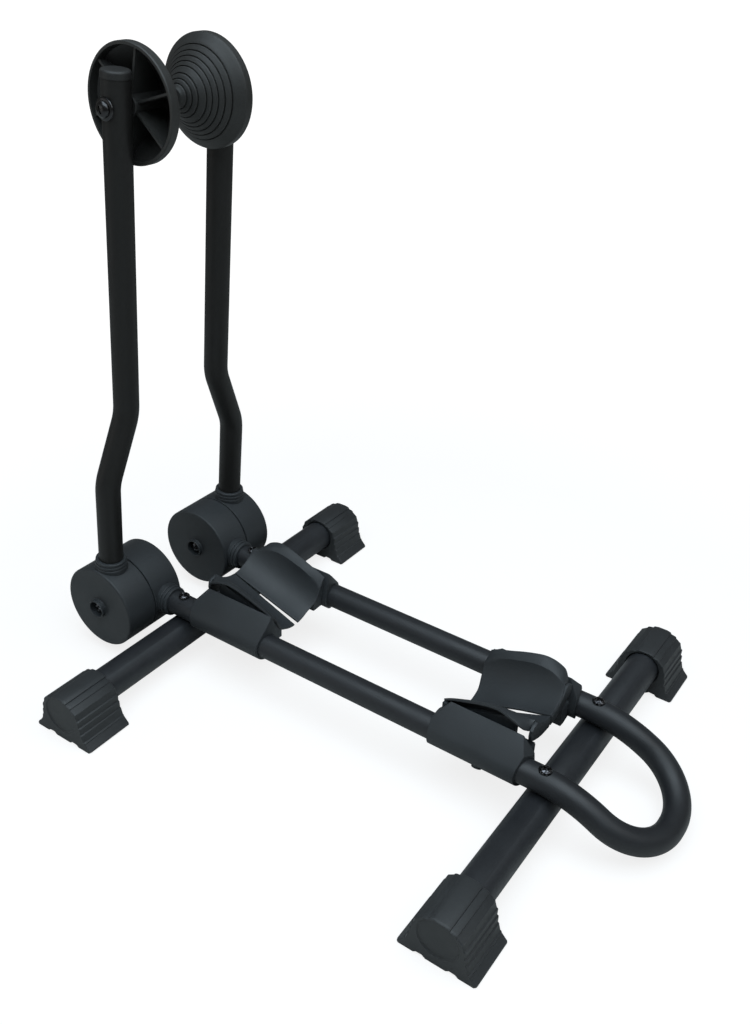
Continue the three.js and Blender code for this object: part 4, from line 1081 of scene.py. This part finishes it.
def floor_material():
    """Pale floor that the camera sees as white outside the rack's soft shadow."""
    material, tree, shader = new_material("pale_floor")
    preset(shader, {"Roughness": 0.9, "Specular IOR Level": 0.0})
    noise = node_in(tree, "ShaderNodeTexNoise", {"Scale": 3.0})
    place = node_in(tree, "ShaderNodeTexCoord")
    tint = node_in(tree, "ShaderNodeMix", data_type="RGBA")
    preset(tint, {"A": (0.95, 0.95, 0.95, 1), "B": (0.98, 0.98, 0.98, 1)})
    path = node_in(tree, "ShaderNodeLightPath")
    seen = node_in(tree, "ShaderNodeMix", data_type="RGBA")
    preset(seen, {"A": (0.58, 0.58, 0.56, 1)})
    white = node_in(tree, "ShaderNodeEmission", {"Strength": 1.1})
    mix = node_in(tree, "ShaderNodeMixShader")
    share = node_in(tree, "ShaderNodeMath", operation="MULTIPLY")
    reach = node_in(tree, "ShaderNodeVectorMath", operation="LENGTH")
    fade = node_in(tree, "ShaderNodeMapRange", {"From Min": 0.45, "From Max": 1.1, "To Min": 0.74,
                                                "To Max": 1.0})
    wire(tree, (place, "Object", reach, 0), (reach, "Value", fade, "Value"), (fade, "Result", share, 1),
         (place, "Object", noise, "Vector"), (noise, "Fac", tint, "Factor"), (tint, "Result", seen, "B"),
         (path, "Is Camera Ray", seen, "Factor"), (seen, "Result", shader, "Base Color"),
         (path, "Is Camera Ray", share, 0), (share, "Value", mix, "Fac"), (shader, "BSDF", mix, 1),
         (white, "Emission", mix, 2), (mix, "Shader", tree.nodes["Material Output"], "Surface"))
    return material


def add_camera():
    """Camera at the photograph's place and angle, with its roll."""
    azimuth, elevation, roll = (math.radians(a) for a in (33.19, 30.99, 2.45))
    ahead = Vector((-math.sin(azimuth) * math.cos(elevation), math.cos(azimuth) * math.cos(elevation),
                    -math.sin(elevation)))
    level = Vector((math.cos(azimuth), math.sin(azimuth), 0))
    above = level.cross(ahead)
    right = math.cos(roll) * level + math.sin(roll) * above
    up = -math.sin(roll) * level + math.cos(roll) * above
    bpy.ops.object.camera_add()
    camera = bpy.context.object
    camera.name = "photo_camera"
    turn = Matrix((right, up, -ahead)).transposed().to_4x4()
    camera.matrix_world = Matrix.Translation((REAR_X + 0.5815, -0.6206, 0.6399)) @ turn
    sensor, focal_px, frame_px = 36.0, 1053.5, 1025
    camera.data.sensor_width = sensor
    camera.data.lens = sensor * focal_px / frame_px
    camera.data.clip_start = 0.02
    bpy.context.scene.camera = camera


class RACK_OT_stage(bpy.types.Operator):
    """Adds the floor, the studio light and the camera"""
    bl_idname = "rack.stage"
    bl_label = "Stage"

    def execute(self, context):
        clear_selection()
        bpy.ops.mesh.primitive_plane_add(size=60, location=(0, 0, -0.0004))
        floor = context.object
        floor.name = "floor"
        settle(floor)
        floor.data.materials.append(floor_material())
        white_world()
        area_light("overhead", (1.8, 1.8), 29.0, (0.15, -0.35, 1.65), (0, 0, 0.1), (0.78, 0.91, 1.0))
        area_light("window_side", (1.0, 1.0), 4.0, (1.3, 0.2, 1.4), (0, 0, 0.15), (0.94, 0.98, 1.0))
        area_light("front_left", (1.2, 1.2), 2.5, (-1.3, -1.5, 0.4), (-0.1, 0, 0.1), (1.0, 1.0, 0.97))
        add_camera()
        context.scene.view_settings.view_transform = "Standard"
        return {"FINISHED"}


# ---------------------------------------------------------------- panel and main
OPERATORS = (RACK_OT_tubes, RACK_OT_feet, RACK_OT_drums, RACK_OT_cones, RACK_OT_trays, RACK_OT_screws,
             RACK_OT_kept_nodes, RACK_OT_stage)


class RACK_PT_panel(bpy.types.Panel):
    """Lists the rack's builders, sizes and colours"""
    bl_label = "Bike rack"
    bl_idname = "RACK_PT_panel"
    bl_space_type = "VIEW_3D"
    bl_region_type = "UI"
    bl_category = "Bike rack"

    def draw(self, context):
        for operator in OPERATORS:
            self.layout.operator(operator.bl_idname)
        for group in (context.scene.rack_sizes, context.scene.rack_colours):
            for name in group.__annotations__:
                self.layout.prop(group, name)


CLASSES = (RackSizes, RackColours, *OPERATORS, RACK_PT_panel)


def register():
    for kind in CLASSES:
        bpy.utils.register_class(kind)
    bpy.types.Scene.rack_sizes = bpy.props.PointerProperty(type=RackSizes)
    bpy.types.Scene.rack_colours = bpy.props.PointerProperty(type=RackColours)


def unregister():
    del bpy.types.Scene.rack_colours
    del bpy.types.Scene.rack_sizes
    for kind in reversed(CLASSES):
        bpy.utils.unregister_class(kind)


def main():
    register()
    make_finishes()
    bpy.ops.rack.tubes()
    bpy.ops.rack.feet()
    bpy.ops.rack.drums()
    bpy.ops.rack.cones()
    bpy.ops.rack.trays()
    bpy.ops.rack.screws()
    bpy.ops.rack.kept_nodes()
    bpy.ops.rack.stage()


if __name__ == "__main__":
    main()
